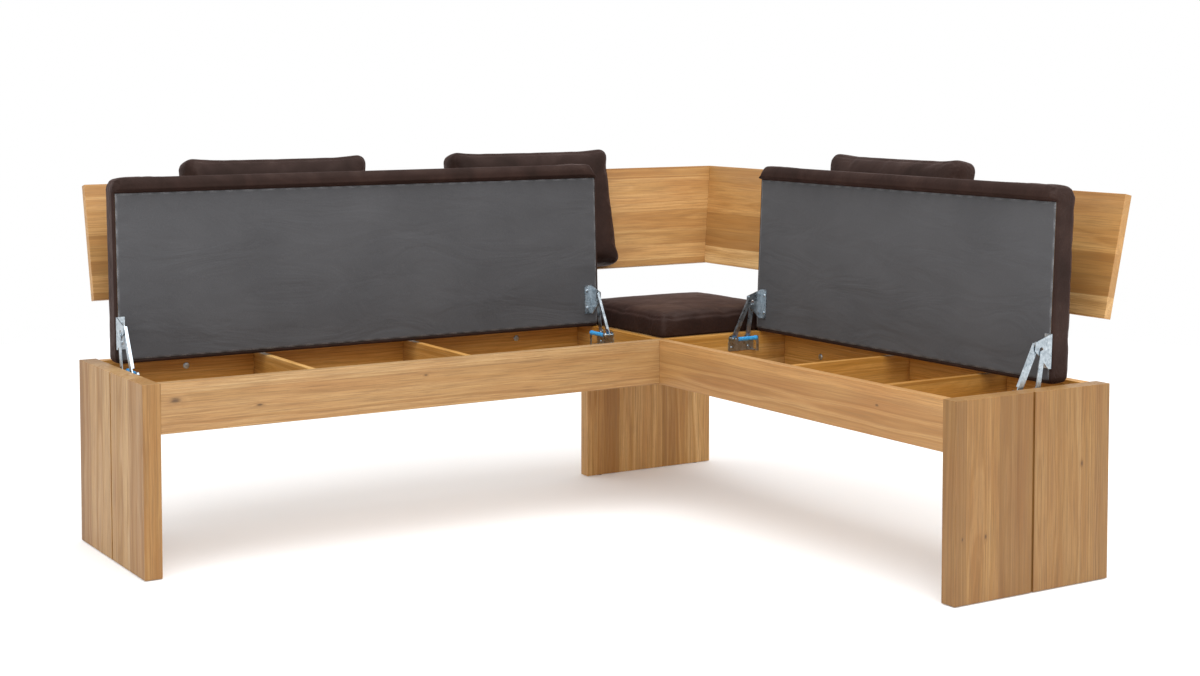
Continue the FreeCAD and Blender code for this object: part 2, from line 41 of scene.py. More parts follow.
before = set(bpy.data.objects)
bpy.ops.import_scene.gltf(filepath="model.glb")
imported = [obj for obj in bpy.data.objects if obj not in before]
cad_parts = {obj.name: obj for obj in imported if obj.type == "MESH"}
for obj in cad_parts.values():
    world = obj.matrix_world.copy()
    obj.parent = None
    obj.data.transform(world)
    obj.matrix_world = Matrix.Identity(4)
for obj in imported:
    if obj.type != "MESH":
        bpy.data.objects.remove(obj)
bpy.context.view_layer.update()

FRAME_BODY = "bench_frame"
RUNS = ("long", "short")

# A cover starts this far inside its CAD solid, so that its bulging sides stay within it
COVER_INSET = 0.0015
# A loose cushion's sides pull in this far between their corners
SIDE_PULL = 0.003
# Cell of the lining's mesh
LINING_CELL = 0.006
# Spacing of the staples that hold the lining
STAPLE_SPACING = 0.045
# Frames of the cloth simulation that stuffs a cover
STUFFING_FRAMES = 16


# Where things are
def inner_corner():
    """The corner where the two front rails' faces meet, on the floor."""
    low, high = (Vector(p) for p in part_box("long_front_rail"))
    return Vector((high.x - (high.y - low.y), low.y, 0.0))


CORNER = inner_corner()


def in_room(run, points):
    """Points (distance along the run, depth, height) of a run, placed in the room."""
    along, deep, high = np.moveaxis(np.asarray(points, dtype=float), -1, 0)
    if run == "long":
        return np.stack([CORNER.x - along, CORNER.y + deep, high], axis=-1)
    return np.stack([CORNER.x + deep, CORNER.y - along, high], axis=-1)


def in_run(run, points):
    """The reverse of in_room."""
    x, y, high = np.moveaxis(np.asarray(points, dtype=float), -1, 0)
    if run == "long":
        return np.stack([CORNER.x - x, y - CORNER.y, high], axis=-1)
    return np.stack([CORNER.y - y, x - CORNER.x, high], axis=-1)


def run_direction(run, along, deep, high):
    """A direction given in a run's own terms, in the room."""
    start = in_room(run, (0.0, 0.0, 0.0))
    return Vector(in_room(run, (along, deep, high)) - start)


def mesh_points(mesh, what="co"):
    """The places of a mesh's points, or their normals."""
    values = np.empty(len(mesh.vertices) * 3)
    mesh.vertices.foreach_get(what, values)
    return values.reshape(-1, 3)


class Lean:
    """Leaning axes in a run: x along the run, y up the slope, z off the surface."""

    def __init__(self, run, foot, slope, off):
        self.run = run
        self.foot, self.slope, self.off = np.array(foot), np.array(slope), np.array(off)

    def room(self, points):
        """Points in these axes, placed in the room."""
        side = self.foot + points[..., 1:2] * self.slope + points[..., 2:] * self.off
        return in_room(self.run, np.concatenate([points[..., :1], side], axis=-1))

    def span(self, node):
        """The low and the high corner of a CAD node in these axes."""
        points = in_run(self.run, mesh_points(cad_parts[node].data))
        side = points[:, 1:] - self.foot
        inside = np.stack([points[:, 0], side @ self.slope, side @ self.off], axis=-1)
        return inside.min(axis=0), inside.max(axis=0)

    def axes(self):
        """The three axes in the room, as rows."""
        own = ((1, 0, 0), (0, *self.slope), (0, *self.off))
        return np.array([run_direction(self.run, *axis) for axis in own])


def lean_on(run, node, tilt, facing, face):
    """Axes on a leaning node, from its lower edge.

    Facing is 1 where "off" points to the back of the run and -1 where it points to the sitter.
    Face is np.min or np.max, for the node's first or last face in that direction.
    """
    slope = np.array((math.sin(tilt), math.cos(tilt)))
    off = facing * np.array((math.cos(tilt), -math.sin(tilt)))
    side = in_run(run, mesh_points(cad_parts[node].data))[:, 1:]
    return Lean(run, slope * (side @ slope).min() + off * face(side @ off), slope, off)


def lid_lean(run):
    """Axes of an open lid: the rear edge of its underside, up the lid, and into the pad."""
    tilt = bpy.context.scene.bench_sizes.lid_tilt
    return lean_on(run, f"{run}_lid_lining", tilt, 1, np.min)


def board_lean(run):
    """Axes of a backrest board's front: its lower edge, up the board, and towards the sitter."""
    tilt = bpy.context.scene.bench_sizes.backrest_tilt
    return lean_on(run, f"{run}_backrest", tilt, -1, np.max)


# Meshes
def smooth(value, start, end):
    share = np.clip((value - start) / (end - start), 0, 1)
    return share * share * (3 - 2 * share)


def linked(name, mesh):
    """An object for a mesh, put in the scene."""
    piece = bpy.data.objects.new(name, mesh)
    bpy.context.scene.collection.objects.link(piece)
    return piece


def form_mesh(name, form):
    """The plain mesh of a bmesh form, which it uses up."""
    mesh = bpy.data.meshes.new(name)
    form.to_mesh(mesh)
    form.free()
    return mesh


def new_piece(name, points, faces, material, closed=True, gather=None):
    """A piece from its points and faces. Gather says how much a cover is drawn in at each point; on
    a lining it holds the painted hem highlight.
    """
    mesh = bpy.data.meshes.new(name)
    mesh.from_pydata([tuple(p) for p in points], [], faces)
    if closed:
        form = bmesh.new()
        form.from_mesh(mesh)
        bmesh.ops.recalc_face_normals(form, faces=form.faces)
        form.to_mesh(mesh)
        form.free()
    mesh.shade_smooth()
    mesh.materials.append(material)
    if gather is not None:
        mesh.attributes.new("gather", "FLOAT", "POINT").data.foreach_set("value", gather)
    return linked(name, mesh)


def finish_piece(piece, body, node):
    """Hands a piece in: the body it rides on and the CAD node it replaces."""
    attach(piece, body)
    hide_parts(node)


def eased_steps(low, high, low_radius, high_radius, cell, turns=4):
    """Places along one side of a rounded block, closer together where it rounds over."""
    bends = [math.tan(math.radians(45) * k / turns) for k in range(turns, 0, -1)]
    first = [low + low_radius * (1 - bend) for bend in bends]
    last = [high - high_radius * (1 - bend) for bend in reversed(bends)]
    start, end = low + low_radius, high - high_radius
    count = max(2, round((end - start) / cell))
    return first + [start + (end - start) * k / count for k in range(count + 1)] + last


def block_steps(low, high, radii):
    """Places along the three sides of a block. Radii are for the low and the high end of z."""
    cell = bpy.context.scene.bench_sizes.cover_cell
    ends = ((radii[1], radii[1]), (radii[1], radii[1]), radii)
    return [eased_steps(low[a], high[a], *ends[a], cell) for a in range(3)]


class Block:
    """A closed skin of quads over a rounded block, kept with the lattice it was drawn on."""

    def __init__(self, steps):
        steps = [np.array(s) for s in steps]
        self.size = [len(s) - 1 for s in steps]
        self.index = {}
        nx, ny, nz = self.size
        for i in range(nx + 1):
            for j in range(ny + 1):
                inside = 0 < i < nx and 0 < j < ny
                for k in (0, nz) if inside else range(nz + 1):
                    self.index[i, j, k] = len(self.index)
        lattice = np.array(list(self.index))
        self.flat = np.stack([steps[a][lattice[:, a]] for a in range(3)], axis=-1)
        self.low = np.array([s[0] for s in steps])
        self.high = np.array([s[-1] for s in steps])
        self.share = (self.flat - self.low) / (self.high - self.low)
        self.faces = self.quads()

    def quads(self):
        faces = []
        for fixed, a, b in ((0, 1, 2), (1, 0, 2), (2, 0, 1)):
            for end in (0, self.size[fixed]):
                for p in range(self.size[a]):
                    for q in range(self.size[b]):
                        corners = []
                        for dp, dq in ((0, 0), (1, 0), (1, 1), (0, 1)):
                            place = [0, 0, 0]
                            place[fixed], place[a], place[b] = end, p + dp, q + dq
                            corners.append(self.index[tuple(place)])
                        faces.append(corners)
        return faces

    def rounded(self, radii, corners):
        """Rounds the block over its edges, and its corners in plan.

        Radii are for the low and the high end of z, corners for the low and the high end of y.
        """
        rise, run = smooth(self.share[:, 2], 0.35, 0.65), smooth(self.share[:, 1], 0.35, 0.65)
        radius = radii[0] + (radii[1] - radii[0]) * rise
        corner = np.maximum(corners[0] + (corners[1] - corners[0]) * run, radius)
        inside = np.minimum(self.flat - self.low, self.high - self.flat)
        inward = np.where(self.share < 0.5, 1.0, -1.0)
        # Over the edge: from the side to the top or the underside
        edge = np.stack([inside[:, :2].min(axis=1), inside[:, 2]], axis=-1)
        over = np.clip(radius[:, None] - edge, 0, None)
        tight = over.max(axis=1) / np.maximum(np.hypot(over[:, 0], over[:, 1]), 1e-9)
        drawn = over * (1 - np.where(over.max(axis=1) > 0, tight, 1.0))[:, None]
        # Round the corner in plan
        plan = np.clip(corner[:, None] - inside[:, :2], 0, None)
        reach = np.maximum(np.hypot(plan[:, 0], plan[:, 1]), 1e-9)
        kept = plan * ((plan.max(axis=1) - drawn[:, 0]) / reach)[:, None]
        return self.flat + inward * np.column_stack([plan - kept, drawn[:, 1]])

    def crown(self, points, rise, powers):
        """Raises the top's middle over its edges. A higher power keeps the rise flat for longer."""
        fade = [1 - np.abs(2 * self.share[:, a] - 1) ** powers[a] for a in (0, 1)]
        fade = np.clip(fade[0], 0, 1) * np.clip(fade[1], 0, 1)
        points[:, 2] += rise * fade * smooth(self.share[:, 2], 0.3, 1.0)

    def gather(self):
        """How much the cover is drawn together: most at the corners, some along the edges."""
        aside, ahead = np.minimum(self.flat - self.low, self.high - self.flat)[:, :2].T
        corner = np.exp(-np.hypot(aside, ahead) / 0.045)
        edge = np.exp(-np.minimum(aside, ahead) / 0.016)
        return np.clip(corner + 0.45 * edge, 0, 1)

    def rim(self):
        """The closed line of skin points round the block's top."""
        nx, ny, nz = self.size
        walk = [(i, 0) for i in range(nx)] + [(nx, j) for j in range(ny)]
        walk += [(i, ny) for i in range(nx, 0, -1)] + [(0, j) for j in range(ny, 0, -1)]
        return [self.index[i, j, nz] for i, j in walk]


def set_points(mesh, points):
    mesh.vertices.foreach_set("co", points.reshape(-1))
    mesh.update()


def plump(piece, held, caps, axes, slack):
    """Blows the cover out against its stuffing with cloth, and keeps each point near its place."""
    scene = bpy.context.scene
    before = mesh_points(piece.data)
    group = piece.vertex_groups.new(name="held")
    group.add([int(v) for v in held], 1.0, "REPLACE")
    cover = piece.modifiers.new("Cover", "CLOTH")
    for name, value in {
        "quality": 4, "mass": 0.35, "tension_stiffness": 12, "compression_stiffness": 12,
        "shear_stiffness": 6, "bending_stiffness": 0.6, "air_damping": 4, "use_pressure": True,
        "uniform_pressure_force": scene.bench_sizes.pressure, "shrink_min": -slack,
        "vertex_group_mass": "held",
    }.items():
        setattr(cover.settings, name, value)
    cover.settings.effector_weights.gravity = 0
    cover.point_cache.frame_start = 1
    cover.point_cache.frame_end = STUFFING_FRAMES
    for number in range(1, STUFFING_FRAMES + 1):
        scene.frame_set(number)
    shown = piece.evaluated_get(bpy.context.evaluated_depsgraph_get())
    moved = (mesh_points(shown.data) - before) @ axes.T
    moved = caps * np.tanh(moved / caps)
    piece.modifiers.remove(cover)
    piece.vertex_groups.remove(group)
    set_points(piece.data, before + moved @ axes)
    scene.frame_set(1)


def sink_seam(piece, line, depth, reach):
    """Draws the skin in along a seam, so that the panels meet in a fine valley."""
    points = mesh_points(piece.data)
    normals = mesh_points(piece.data, "normal")
    near = np.full(len(points), 1e9)
    seam = points[line]
    # In batches, to keep the table of distances small
    batch = 4000
    for begin in range(0, len(points), batch):
        away = points[begin:begin + batch, None, :] - seam[None, :, :]
        near[begin:begin + batch] = np.sqrt((away ** 2).sum(axis=2)).min(axis=1)
    valley = np.exp(-((near / reach) ** 2))
    lips = np.exp(-(((near - 2.2 * reach) / reach) ** 2))
    set_points(piece.data, points - normals * (depth * valley - 0.45 * depth * lips)[:, None])


def stuffed(name, body, node, lean, block, points, held, caps, slack, seam):
    """A stuffed cover with a seam sunk round its top. Caps limit how far it bulges each way."""
    cover = kept_material(brown_microfibre)
    piece = new_piece(name, lean.room(points), block.faces, cover, gather=block.gather())
    plump(piece, held, np.array(caps), lean.axes(), slack)
    sink_seam(piece, block.rim(), *seam)
    rounder = piece.modifiers.new("Skin", "SUBSURF")
    rounder.levels = rounder.render_levels = 1
    finish_piece(piece, body, node)


def cloth(name, lean, outer, inner, material, gather=None):
    """A cloth with two sides, closed round its border, from two grids of places in a lean."""
    rows, cols = outer.shape[:2]
    under = rows * cols
    faces = []
    for i in range(rows - 1):
        for j in range(cols - 1):
            a, b = i * cols + j, (i + 1) * cols + j
            faces.append((a, b, b + 1, a + 1))
            faces.append((under + a + 1, under + b + 1, under + b, under + a))
    border = [i * cols for i in range(rows)] + [under - cols + j for j in range(1, cols)]
    border += [i * cols + cols - 1 for i in range(rows - 2, -1, -1)]
    border += list(range(cols - 2, 0, -1))
    for a, b in zip(border, border[1:] + border[:1]):
        faces.append((a, under + a, under + b, b))
    points = np.concatenate([outer.reshape(-1, 3), inner.reshape(-1, 3)])
    return new_piece(name, lean.room(points), faces, material, gather=gather)


# Node trees
def linear(code):
    """An sRGB hex colour as linear values, with an alpha of 1."""
    parts = [int(code[i:i + 2], 16) / 255 for i in (1, 3, 5)]
    return *(c / 12.92 if c <= 0.04045 else ((c + 0.055) / 1.055) ** 2.4 for c in parts), 1.0


def fill_inputs(tree, node, inputs):
    """Links or sets a node's inputs, given by name or in order.

    A node given for an input stands for the output it uses.
    """
    for key, value in inputs.items() if isinstance(inputs, dict) else enumerate(inputs):
        if isinstance(value, bpy.types.Node):
            value = next(s for s in value.outputs if s.enabled)
        if isinstance(value, bpy.types.NodeSocket):
            tree.links.new(value, node.inputs[key])
        else:
            node.inputs[key].default_value = value


def add(tree, kind, inputs=None, stops=(), **settings):
    """Adds a node with its settings, its inputs and, on a ramp, its (place, hex colour) stops."""
    made = tree.nodes.new(kind)
    for key, value in settings.items():
        setattr(made, key, value)
    fill_inputs(tree, made, inputs or {})
    if stops:
        ramp = made.color_ramp.elements
        while len(ramp) < len(stops):
            ramp.new(0.5)
        for element, (place, colour) in zip(ramp, stops):
            element.position = place
            element.color = linear(colour)
    return made


def blank_material(name):
    material = bpy.data.materials.new(name)
    material.use_nodes = True
    tree = material.node_tree
    tree.nodes.clear()
    shader = add(tree, "ShaderNodeBsdfPrincipled")
    add(tree, "ShaderNodeOutputMaterial", {"Surface": shader})
    return material, tree, shader


MATH = "ShaderNodeMath"
VECTOR = "ShaderNodeVectorMath"
# Takes a value, the low and high end it comes from, and the low and high end it goes to
RANGE = "ShaderNodeMapRange"
MIX = "ShaderNodeMix"
NOISE = "ShaderNodeTexNoise"
VORONOI = "ShaderNodeTexVoronoi"
RAMP = "ShaderNodeValToRGB"
BUMP = "ShaderNodeBump"
COORDINATES = "ShaderNodeTexCoord"
SPLIT_COLOUR = "ShaderNodeSeparateColor"
JOIN_XYZ = "ShaderNodeCombineXYZ"


def oiled_oak(
    name, grain, across, centre, seed, stave, joint=0.0, sway=6.0, lift=1.0, warmth_and_painted_bounce=0.97, knots=()
):
    """Solid oak glued from staves and oiled.

    The eye sees staves of different lightness, rings cut lengthwise as long wandering bands, darker
    streaks, a knot here and there that the bands flow round, and short pores along the grain.
    Knots are (mm along the grain, mm across, mm radius) from the middle of the board.
    """
    finish = bpy.context.scene.bench_finish
    material, tree, shader = blank_material(name)
    grain, across = grain.normalized(), across.normalized()
    turn = Matrix((grain, across, grain.cross(across)))
    where = add(tree, COORDINATES)
    # The board's own axes in mm: along the grain, across it and into the board
    board = add(tree, "ShaderNodeMapping", {
        "Vector": where.outputs["Object"], "Rotation": turn.to_euler(),
        "Scale": (1000, 1000, 1000), "Location": -(turn @ centre) * 1000,
    })
    length, width, depth = add(tree, "ShaderNodeSeparateXYZ", [board]).outputs
    # Staves of uneven width
    swing = add(tree, MATH, [width, 0.083, seed * 1.7], operation="MULTIPLY_ADD")
    swing = add(tree, MATH, [swing], operation="SINE")
    uneven = add(tree, MATH, [swing, sway, width], operation="MULTIPLY_ADD")
    uneven = add(tree, MATH, [uneven, joint], operation="SUBTRACT")
    stacked = add(tree, MATH, [uneven, stave * 1000], operation="DIVIDE")
    row = add(tree, MATH, [stacked], operation="FLOOR")
    inside = add(tree, MATH, [stacked], operation="FRACT")
    draw = add(tree, MATH, [row, 3.71, seed * 9.3], operation="MULTIPLY_ADD")
    chance = add(tree, "ShaderNodeTexWhiteNoise", {"W": draw}, noise_dimensions="1D")
    lots = add(tree, SPLIT_COLOUR, [chance.outputs["Color"]])
    lot_aside, lot_deep, lot_tone = lots.outputs
    # Noises drawn out along the grain: size in mm along it, across it and into the board, the
    # noise's fourth place, which sets staves or boards apart, detail and roughness
    noises = {}
    for pattern, size, fourth, detail, rough in (
        ("hairs", (110, 2.6, 2.6), None, 3.0, 0.6),
        ("bends", (360, 75, 90), draw, 2.5, 0.45),
        ("streaks", (340, 7, 12), draw, 2.0, 0.5),
        ("clouds", (210, 32, 60), seed * 2.0, 3.0, 0.5),
        # Pores about 0.3 mm wide are drawn three times as wide, so that they show
        ("pores", (16, 1, 1), None, 2.0, 0.6),
    ):
        drawn = add(tree, VECTOR, [board, [1 / mm for mm in size]], operation="MULTIPLY")
        inputs = {"Vector": drawn, "Scale": 1.0, "Detail": detail, "Roughness": rough}
        if fourth is None:
            noises[pattern] = add(tree, NOISE, inputs)
        else:
            noises[pattern] = add(tree, NOISE, {**inputs, "W": fourth}, noise_dimensions="4D")
    # Small knots, a few to the square metre, longer along the grain: their halo and their heart
    spread = add(tree, JOIN_XYZ, [length, width, draw])
    spread = add(tree, VECTOR, [spread, (1 / 310, 1 / 95, 1.0)], operation="MULTIPLY")
    cells = add(tree, VORONOI, {"Vector": spread, "Scale": 1.0, "Randomness": 0.9})
    kinds = add(tree, SPLIT_COLOUR, [cells.outputs["Color"]])
    chosen = add(tree, MATH, [kinds, finish.knottiness], operation="LESS_THAN")
    marks = []
    for start, full in ((0.30, 0.0), (0.055, 0.015)):
        near = add(tree, RANGE, [cells, start, full], interpolation_type="SMOOTHSTEP")
        marks.append(add(tree, MATH, [near, chosen], operation="MULTIPLY"))
    for knot_along, knot_across, size in knots:
        middle, shrink = (knot_along, knot_across, 0.0), (1 / (2.2 * size), 1 / size, 0.004)
        away = add(tree, VECTOR, [board, middle], operation="SUBTRACT")
        away = add(tree, VECTOR, [away, shrink], operation="MULTIPLY")
        away = add(tree, VECTOR, [away], operation="LENGTH")
        away = add(tree, MATH, [noises["hairs"], 2.4, away], operation="MULTIPLY_ADD")
        for k, (start, full) in enumerate(((4.6, 0.6), (2.6, 1.4))):
            near = add(tree, RANGE, [away, start, full], interpolation_type="SMOOTHSTEP")
            marks[k] = add(tree, MATH, [marks[k], near], operation="MAXIMUM")
    halo, heart = marks
    # Distance from the pith in mm, which lies at a different place for each stave
    aside = add(tree, MATH, [lot_aside, inside], operation="SUBTRACT")
    aside = add(tree, MATH, [aside, stave * 1900], operation="MULTIPLY")
    deep = add(tree, MATH, [lot_deep, 80.0, 22.0], operation="MULTIPLY_ADD")
    deep = add(tree, MATH, [deep, depth], operation="ADD")
    pith = add(tree, JOIN_XYZ, [aside, deep])
    radius = add(tree, VECTOR, [pith], operation="LENGTH")
    ring = add(tree, MATH, [noises["bends"], 44.0, radius], operation="MULTIPLY_ADD")
    ring = add(tree, MATH, [halo, 12.0, ring], operation="MULTIPLY_ADD")
    # Bands of years some 10 mm wide, down to single rings of 2 to 3 mm
    years = add(tree, MATH, [ring, 1 / 10.0, draw], operation="MULTIPLY_ADD")
    bands = {"W": years, "Scale": 1.0, "Detail": 3.0, "Roughness": 0.6}
    bands = add(tree, NOISE, bands, noise_dimensions="1D")
    colour = add(tree, RAMP, [bands], stops=[
        (0.22, finish.oak_dark), (0.42, finish.oak_warm), (0.56, finish.oak_mid),
        (0.76, finish.oak_light),
    ])
    # Each stave has its own tone
    tint = add(tree, RAMP, [lot_tone], stops=[
        (0.0, "#c8b190"), (0.22, "#ead9c0"), (0.5, "#fffcf6"), (0.78, "#eedcc0"), (1.0, "#cfb691"),
    ])
    toned = {"Factor": 1.0, "A": colour, "B": tint}
    colour = add(tree, MIX, toned, data_type="RGBA", blend_type="MULTIPLY")
    pores = add(tree, RANGE, [noises["pores"], 0.56, 0.74, 0.0, 0.5])
    joints = add(tree, MATH, [inside, 0.5], operation="SUBTRACT")
    joints = add(tree, MATH, [joints], operation="ABSOLUTE")
    ends = add(tree, VECTOR, [where.outputs["Normal"], grain], operation="DOT_PRODUCT")
    ends = add(tree, MATH, [ends], operation="ABSOLUTE")
    # What stains the wood: the pattern, where it starts, where it is full, how strong it is then,
    # its colour and how it is laid on
    for pattern, start, full, strength, tone, blend in (
        # Dark streaks of 3 to 8 mm, and hair-fine straight lines
        (noises["streaks"], 0.53, 0.7, 0.5, "#94693e", "MIX"),
        (noises["hairs"], 0.48, 0.62, 0.5, "#7f5a33", "MIX"),
        # Cloudy warmth along a stave
        (noises["clouds"], 0.4, 0.68, 0.4, "#e2c094", "MULTIPLY"),
        (pores, 0.0, 1.0, 1.0, "#805c35", "MIX"),
        # Glue lines, a little darker
        (joints, 0.486, 0.5, 0.34, "#805b35", "MIX"),
        (halo, 0.0, 1.0, 0.5, "#82552b", "MIX"),
        (heart, 0.0, 1.0, 0.75, "#3f2714", "MIX"),
        # End grain drinks more oil
        (ends, 0.7, 0.95, 0.3, "#a98256", "MIX"),
    ):
        share = add(tree, RANGE, [pattern, start, full, 0.0, strength])
        stained = {"Factor": share, "A": colour, "B": linear(tone)}
        colour = add(tree, MIX, stained, data_type="RGBA", blend_type=blend)
    # Painted light and shade: per-board lightness for the light it gets; saturation, partly warm
    # bounce
    painted_light_colour = {"Hue": 0.506, "Saturation": warmth_and_painted_bounce, "Value": lift, "Color": colour}
    painted_light_colour = add(tree, "ShaderNodeHueSaturation", painted_light_colour)
    rough = add(tree, RANGE, [bands, 0.3, 0.7, 0.58, 0.46])
    relief = add(tree, MATH, [bands, noises["hairs"]], operation="ADD")
    relief = add(tree, MATH, [relief, pores], operation="SUBTRACT")
    bump = add(tree, BUMP, {"Strength": 0.3, "Distance": 0.0002, "Height": relief})
    fill_inputs(tree, shader, {"Base Color": painted_light_colour, "Roughness": rough, "Normal": bump})
    return material


def brown_microfibre():
    """Leather-look microfibre: a napped cover with a fine pebble and rubbed, cloudy patches.

    Where the cover is drawn together, at corners and seams, the attribute "gather" deepens its
    creases.
    """
    finish = bpy.context.scene.bench_finish
    material, tree, shader = blank_material("microfibre_dark_brown")
    where = add(tree, COORDINATES).outputs["Object"]
    # Patches where the nap was stroked, 60 to 120 mm across
    patches = {"Vector": where, "Scale": 11.0, "Detail": 4.0, "Roughness": 0.55, "Distortion": 0.6}
    patches = add(tree, NOISE, patches)
    stroked = add(tree, RAMP, [patches], stops=[
        (0.32, finish.cover_dark), (0.5, finish.cover), (0.7, finish.cover_light),
    ])
    # Pebble of about 1.2 mm, drawn at 2 mm so that it shows
    pebble = add(tree, VORONOI, {"Vector": where, "Scale": 520.0}, feature="SMOOTH_F1")
    nap = add(tree, NOISE, {"Vector": where, "Scale": 260.0, "Detail": 3.0})
    grit = add(tree, RANGE, [nap, 0.35, 0.68, 0.0, 0.35])
    mottled = {"Factor": grit, "A": stroked, "B": linear(finish.cover_dark)}
    mottled = add(tree, MIX, mottled, data_type="RGBA")
    worn = add(tree, RANGE, [patches, 0.35, 0.65, 0.72, 0.56])
    drape = add(tree, NOISE, {"Vector": where, "Scale": 30.0, "Detail": 3.0})
    crease = {"Vector": where, "Scale": 62.0, "Detail": 2.0, "Distortion": 1.4}
    gather = add(tree, "ShaderNodeAttribute", attribute_name="gather").outputs["Fac"]
    deepened = add(tree, MATH, [add(tree, NOISE, crease), gather], operation="MULTIPLY")
    folds = add(tree, MATH, [drape, 0.55, deepened], operation="MULTIPLY_ADD")
    soft = add(tree, BUMP, {"Strength": 0.5, "Distance": 0.005, "Height": folds})
    fine = add(tree, MATH, [nap, pebble], operation="ADD")
    fine = {"Strength": 0.4, "Distance": 0.0004, "Height": fine, "Normal": soft}
    fill_inputs(tree, shader, {
        "Base Color": mottled, "Roughness": worn, "Normal": add(tree, BUMP, fine),
        "Sheen Weight": 0.28, "Sheen Roughness": 0.33, "Sheen Tint": linear("#946e68"),
        "Specular IOR Level": 0.14,
    })
    return material


def grey_lining():
    """Spun lining cloth, pulled over the seat board: dull, with faint pulls and creases."""
    finish = bpy.context.scene.bench_finish
    material, tree, shader = blank_material("lining_cloth_grey")
    where = add(tree, COORDINATES).outputs["Object"]
    cloud = add(tree, NOISE, {"Vector": where, "Scale": 5.0, "Detail": 4.0})
    shade = add(tree, RAMP, [cloud], stops=[(0.3, finish.lining_dark), (0.7, finish.lining)])
    # Fibre web of about 0.5 mm, drawn at 1.5 mm
    web = add(tree, NOISE, {"Vector": where, "Scale": 640.0, "Detail": 2.0})
    speck = add(tree, RANGE, [web, 0.4, 0.7, 0.0, 0.25])
    woven = {"Factor": speck, "A": shade, "B": linear("#5c5c5f")}
    woven = add(tree, MIX, woven, data_type="RGBA")
    # Painted highlight along the folded hem: the attribute gather marks the hem, and the fibre web
    # breaks the pale line up
    gather = add(tree, "ShaderNodeAttribute", attribute_name="gather").outputs["Fac"]
    frayed_hem_highlight = add(tree, RANGE, [web, 0.35, 0.6, 0.0, 0.6])
    frayed_hem_highlight = add(tree, MATH, [frayed_hem_highlight, gather], operation="MULTIPLY")
    hem_highlighted = {"Factor": frayed_hem_highlight, "A": woven, "B": linear("#9a9a9c")}
    hem_highlighted = add(tree, MIX, hem_highlighted, data_type="RGBA")
    drawn = add(tree, "ShaderNodeMapping", {"Vector": where, "Scale": (4.0, 4.0, 11.0)})
    crease = add(tree, NOISE, {"Vector": drawn, "Scale": 1.0, "Detail": 3.0, "Distortion": 1.2})
    soft = add(tree, BUMP, {"Strength": 0.5, "Distance": 0.01, "Height": crease})
    fine = {"Strength": 0.3, "Distance": 0.0003, "Height": web, "Normal": soft}
    fill_inputs(tree, shader, {
        "Base Color": hem_highlighted, "Roughness": 0.9, "Normal": add(tree, BUMP, fine),
        "Sheen Weight": 0.08, "Specular IOR Level": 0.25,
    })
    return material


def zinc_steel():
    """Pressed steel, zinc plated: bluish grey with a faint spangle."""
    material, tree, shader = blank_material("zinc_plated_steel")
    where = add(tree, COORDINATES).outputs["Object"]
    spangle = add(tree, VORONOI, {"Vector": where, "Scale": 260.0})
    cloud = add(tree, NOISE, {"Vector": where, "Scale": 90.0, "Detail": 4.0})
    mixed = {"Factor": 0.3, "A": cloud, "B": spangle.outputs["Color"]}
    mixed = add(tree, MIX, mixed, data_type="RGBA")
    grey = add(tree, "ShaderNodeRGBToBW", [mixed])
    zinc = bpy.context.scene.bench_finish.zinc
    colour = add(tree, RAMP, [grey], stops=[(0.3, "#9aa5ad"), (0.6, zinc), (0.8, "#dbe2e7")])
    rough = add(tree, RANGE, [cloud, 0.3, 0.7, 0.24, 0.42])
    bump = add(tree, BUMP, {"Strength": 0.15, "Distance": 0.0001, "Height": cloud})
    fill_inputs(tree, shader, {
        "Base Color": colour, "Metallic": 1.0, "Roughness": rough, "Normal": bump,
    })
    return material


def blue_sleeve():
    """Extruded polyethylene sleeve: bright blue, waxy, with fine lines along it."""
    material, tree, shader = blank_material("polyethylene_blue")
    where = add(tree, COORDINATES).outputs["Object"]
    lines = add(tree, NOISE, {"Vector": where, "Scale": 420.0, "Detail": 2.0})
    sleeve = bpy.context.scene.bench_finish.sleeve
    colour = add(tree, RAMP, [lines], stops=[(0.35, sleeve), (0.7, "#58b4ea")])
    bump = add(tree, BUMP, {"Strength": 0.2, "Distance": 0.0001, "Height": lines})
    fill_inputs(tree, shader, {"Base Color": colour, "Roughness": 0.3, "Normal": bump})
    return material


def black_glide():
    """Moulded nylon glide: dull black, scuffed underneath."""
    material, tree, shader = blank_material("nylon_black")
    where = add(tree, COORDINATES).outputs["Object"]
    scuff = add(tree, NOISE, {"Vector": where, "Scale": 300.0, "Detail": 4.0})
    colour = add(tree, RAMP, [scuff], stops=[(0.4, "#161616"), (0.75, "#3a3a3a")])
    fill_inputs(tree, shader, {"Base Color": colour, "Roughness": 0.6})
    return material


FINISHES = {}


def kept_material(make):
    """Makes a finish once, and hands the same one out after that."""
    if make.__name__ not in FINISHES:
        FINISHES[make.__name__] = make()
    return FINISHES[make.__name__]


def wear(node, material):
    """Gives a CAD node's object its finish."""
    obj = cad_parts[node]
    if not obj.material_slots:
        obj.data.materials.append(material)
    for slot in obj.material_slots:
        slot.material = material


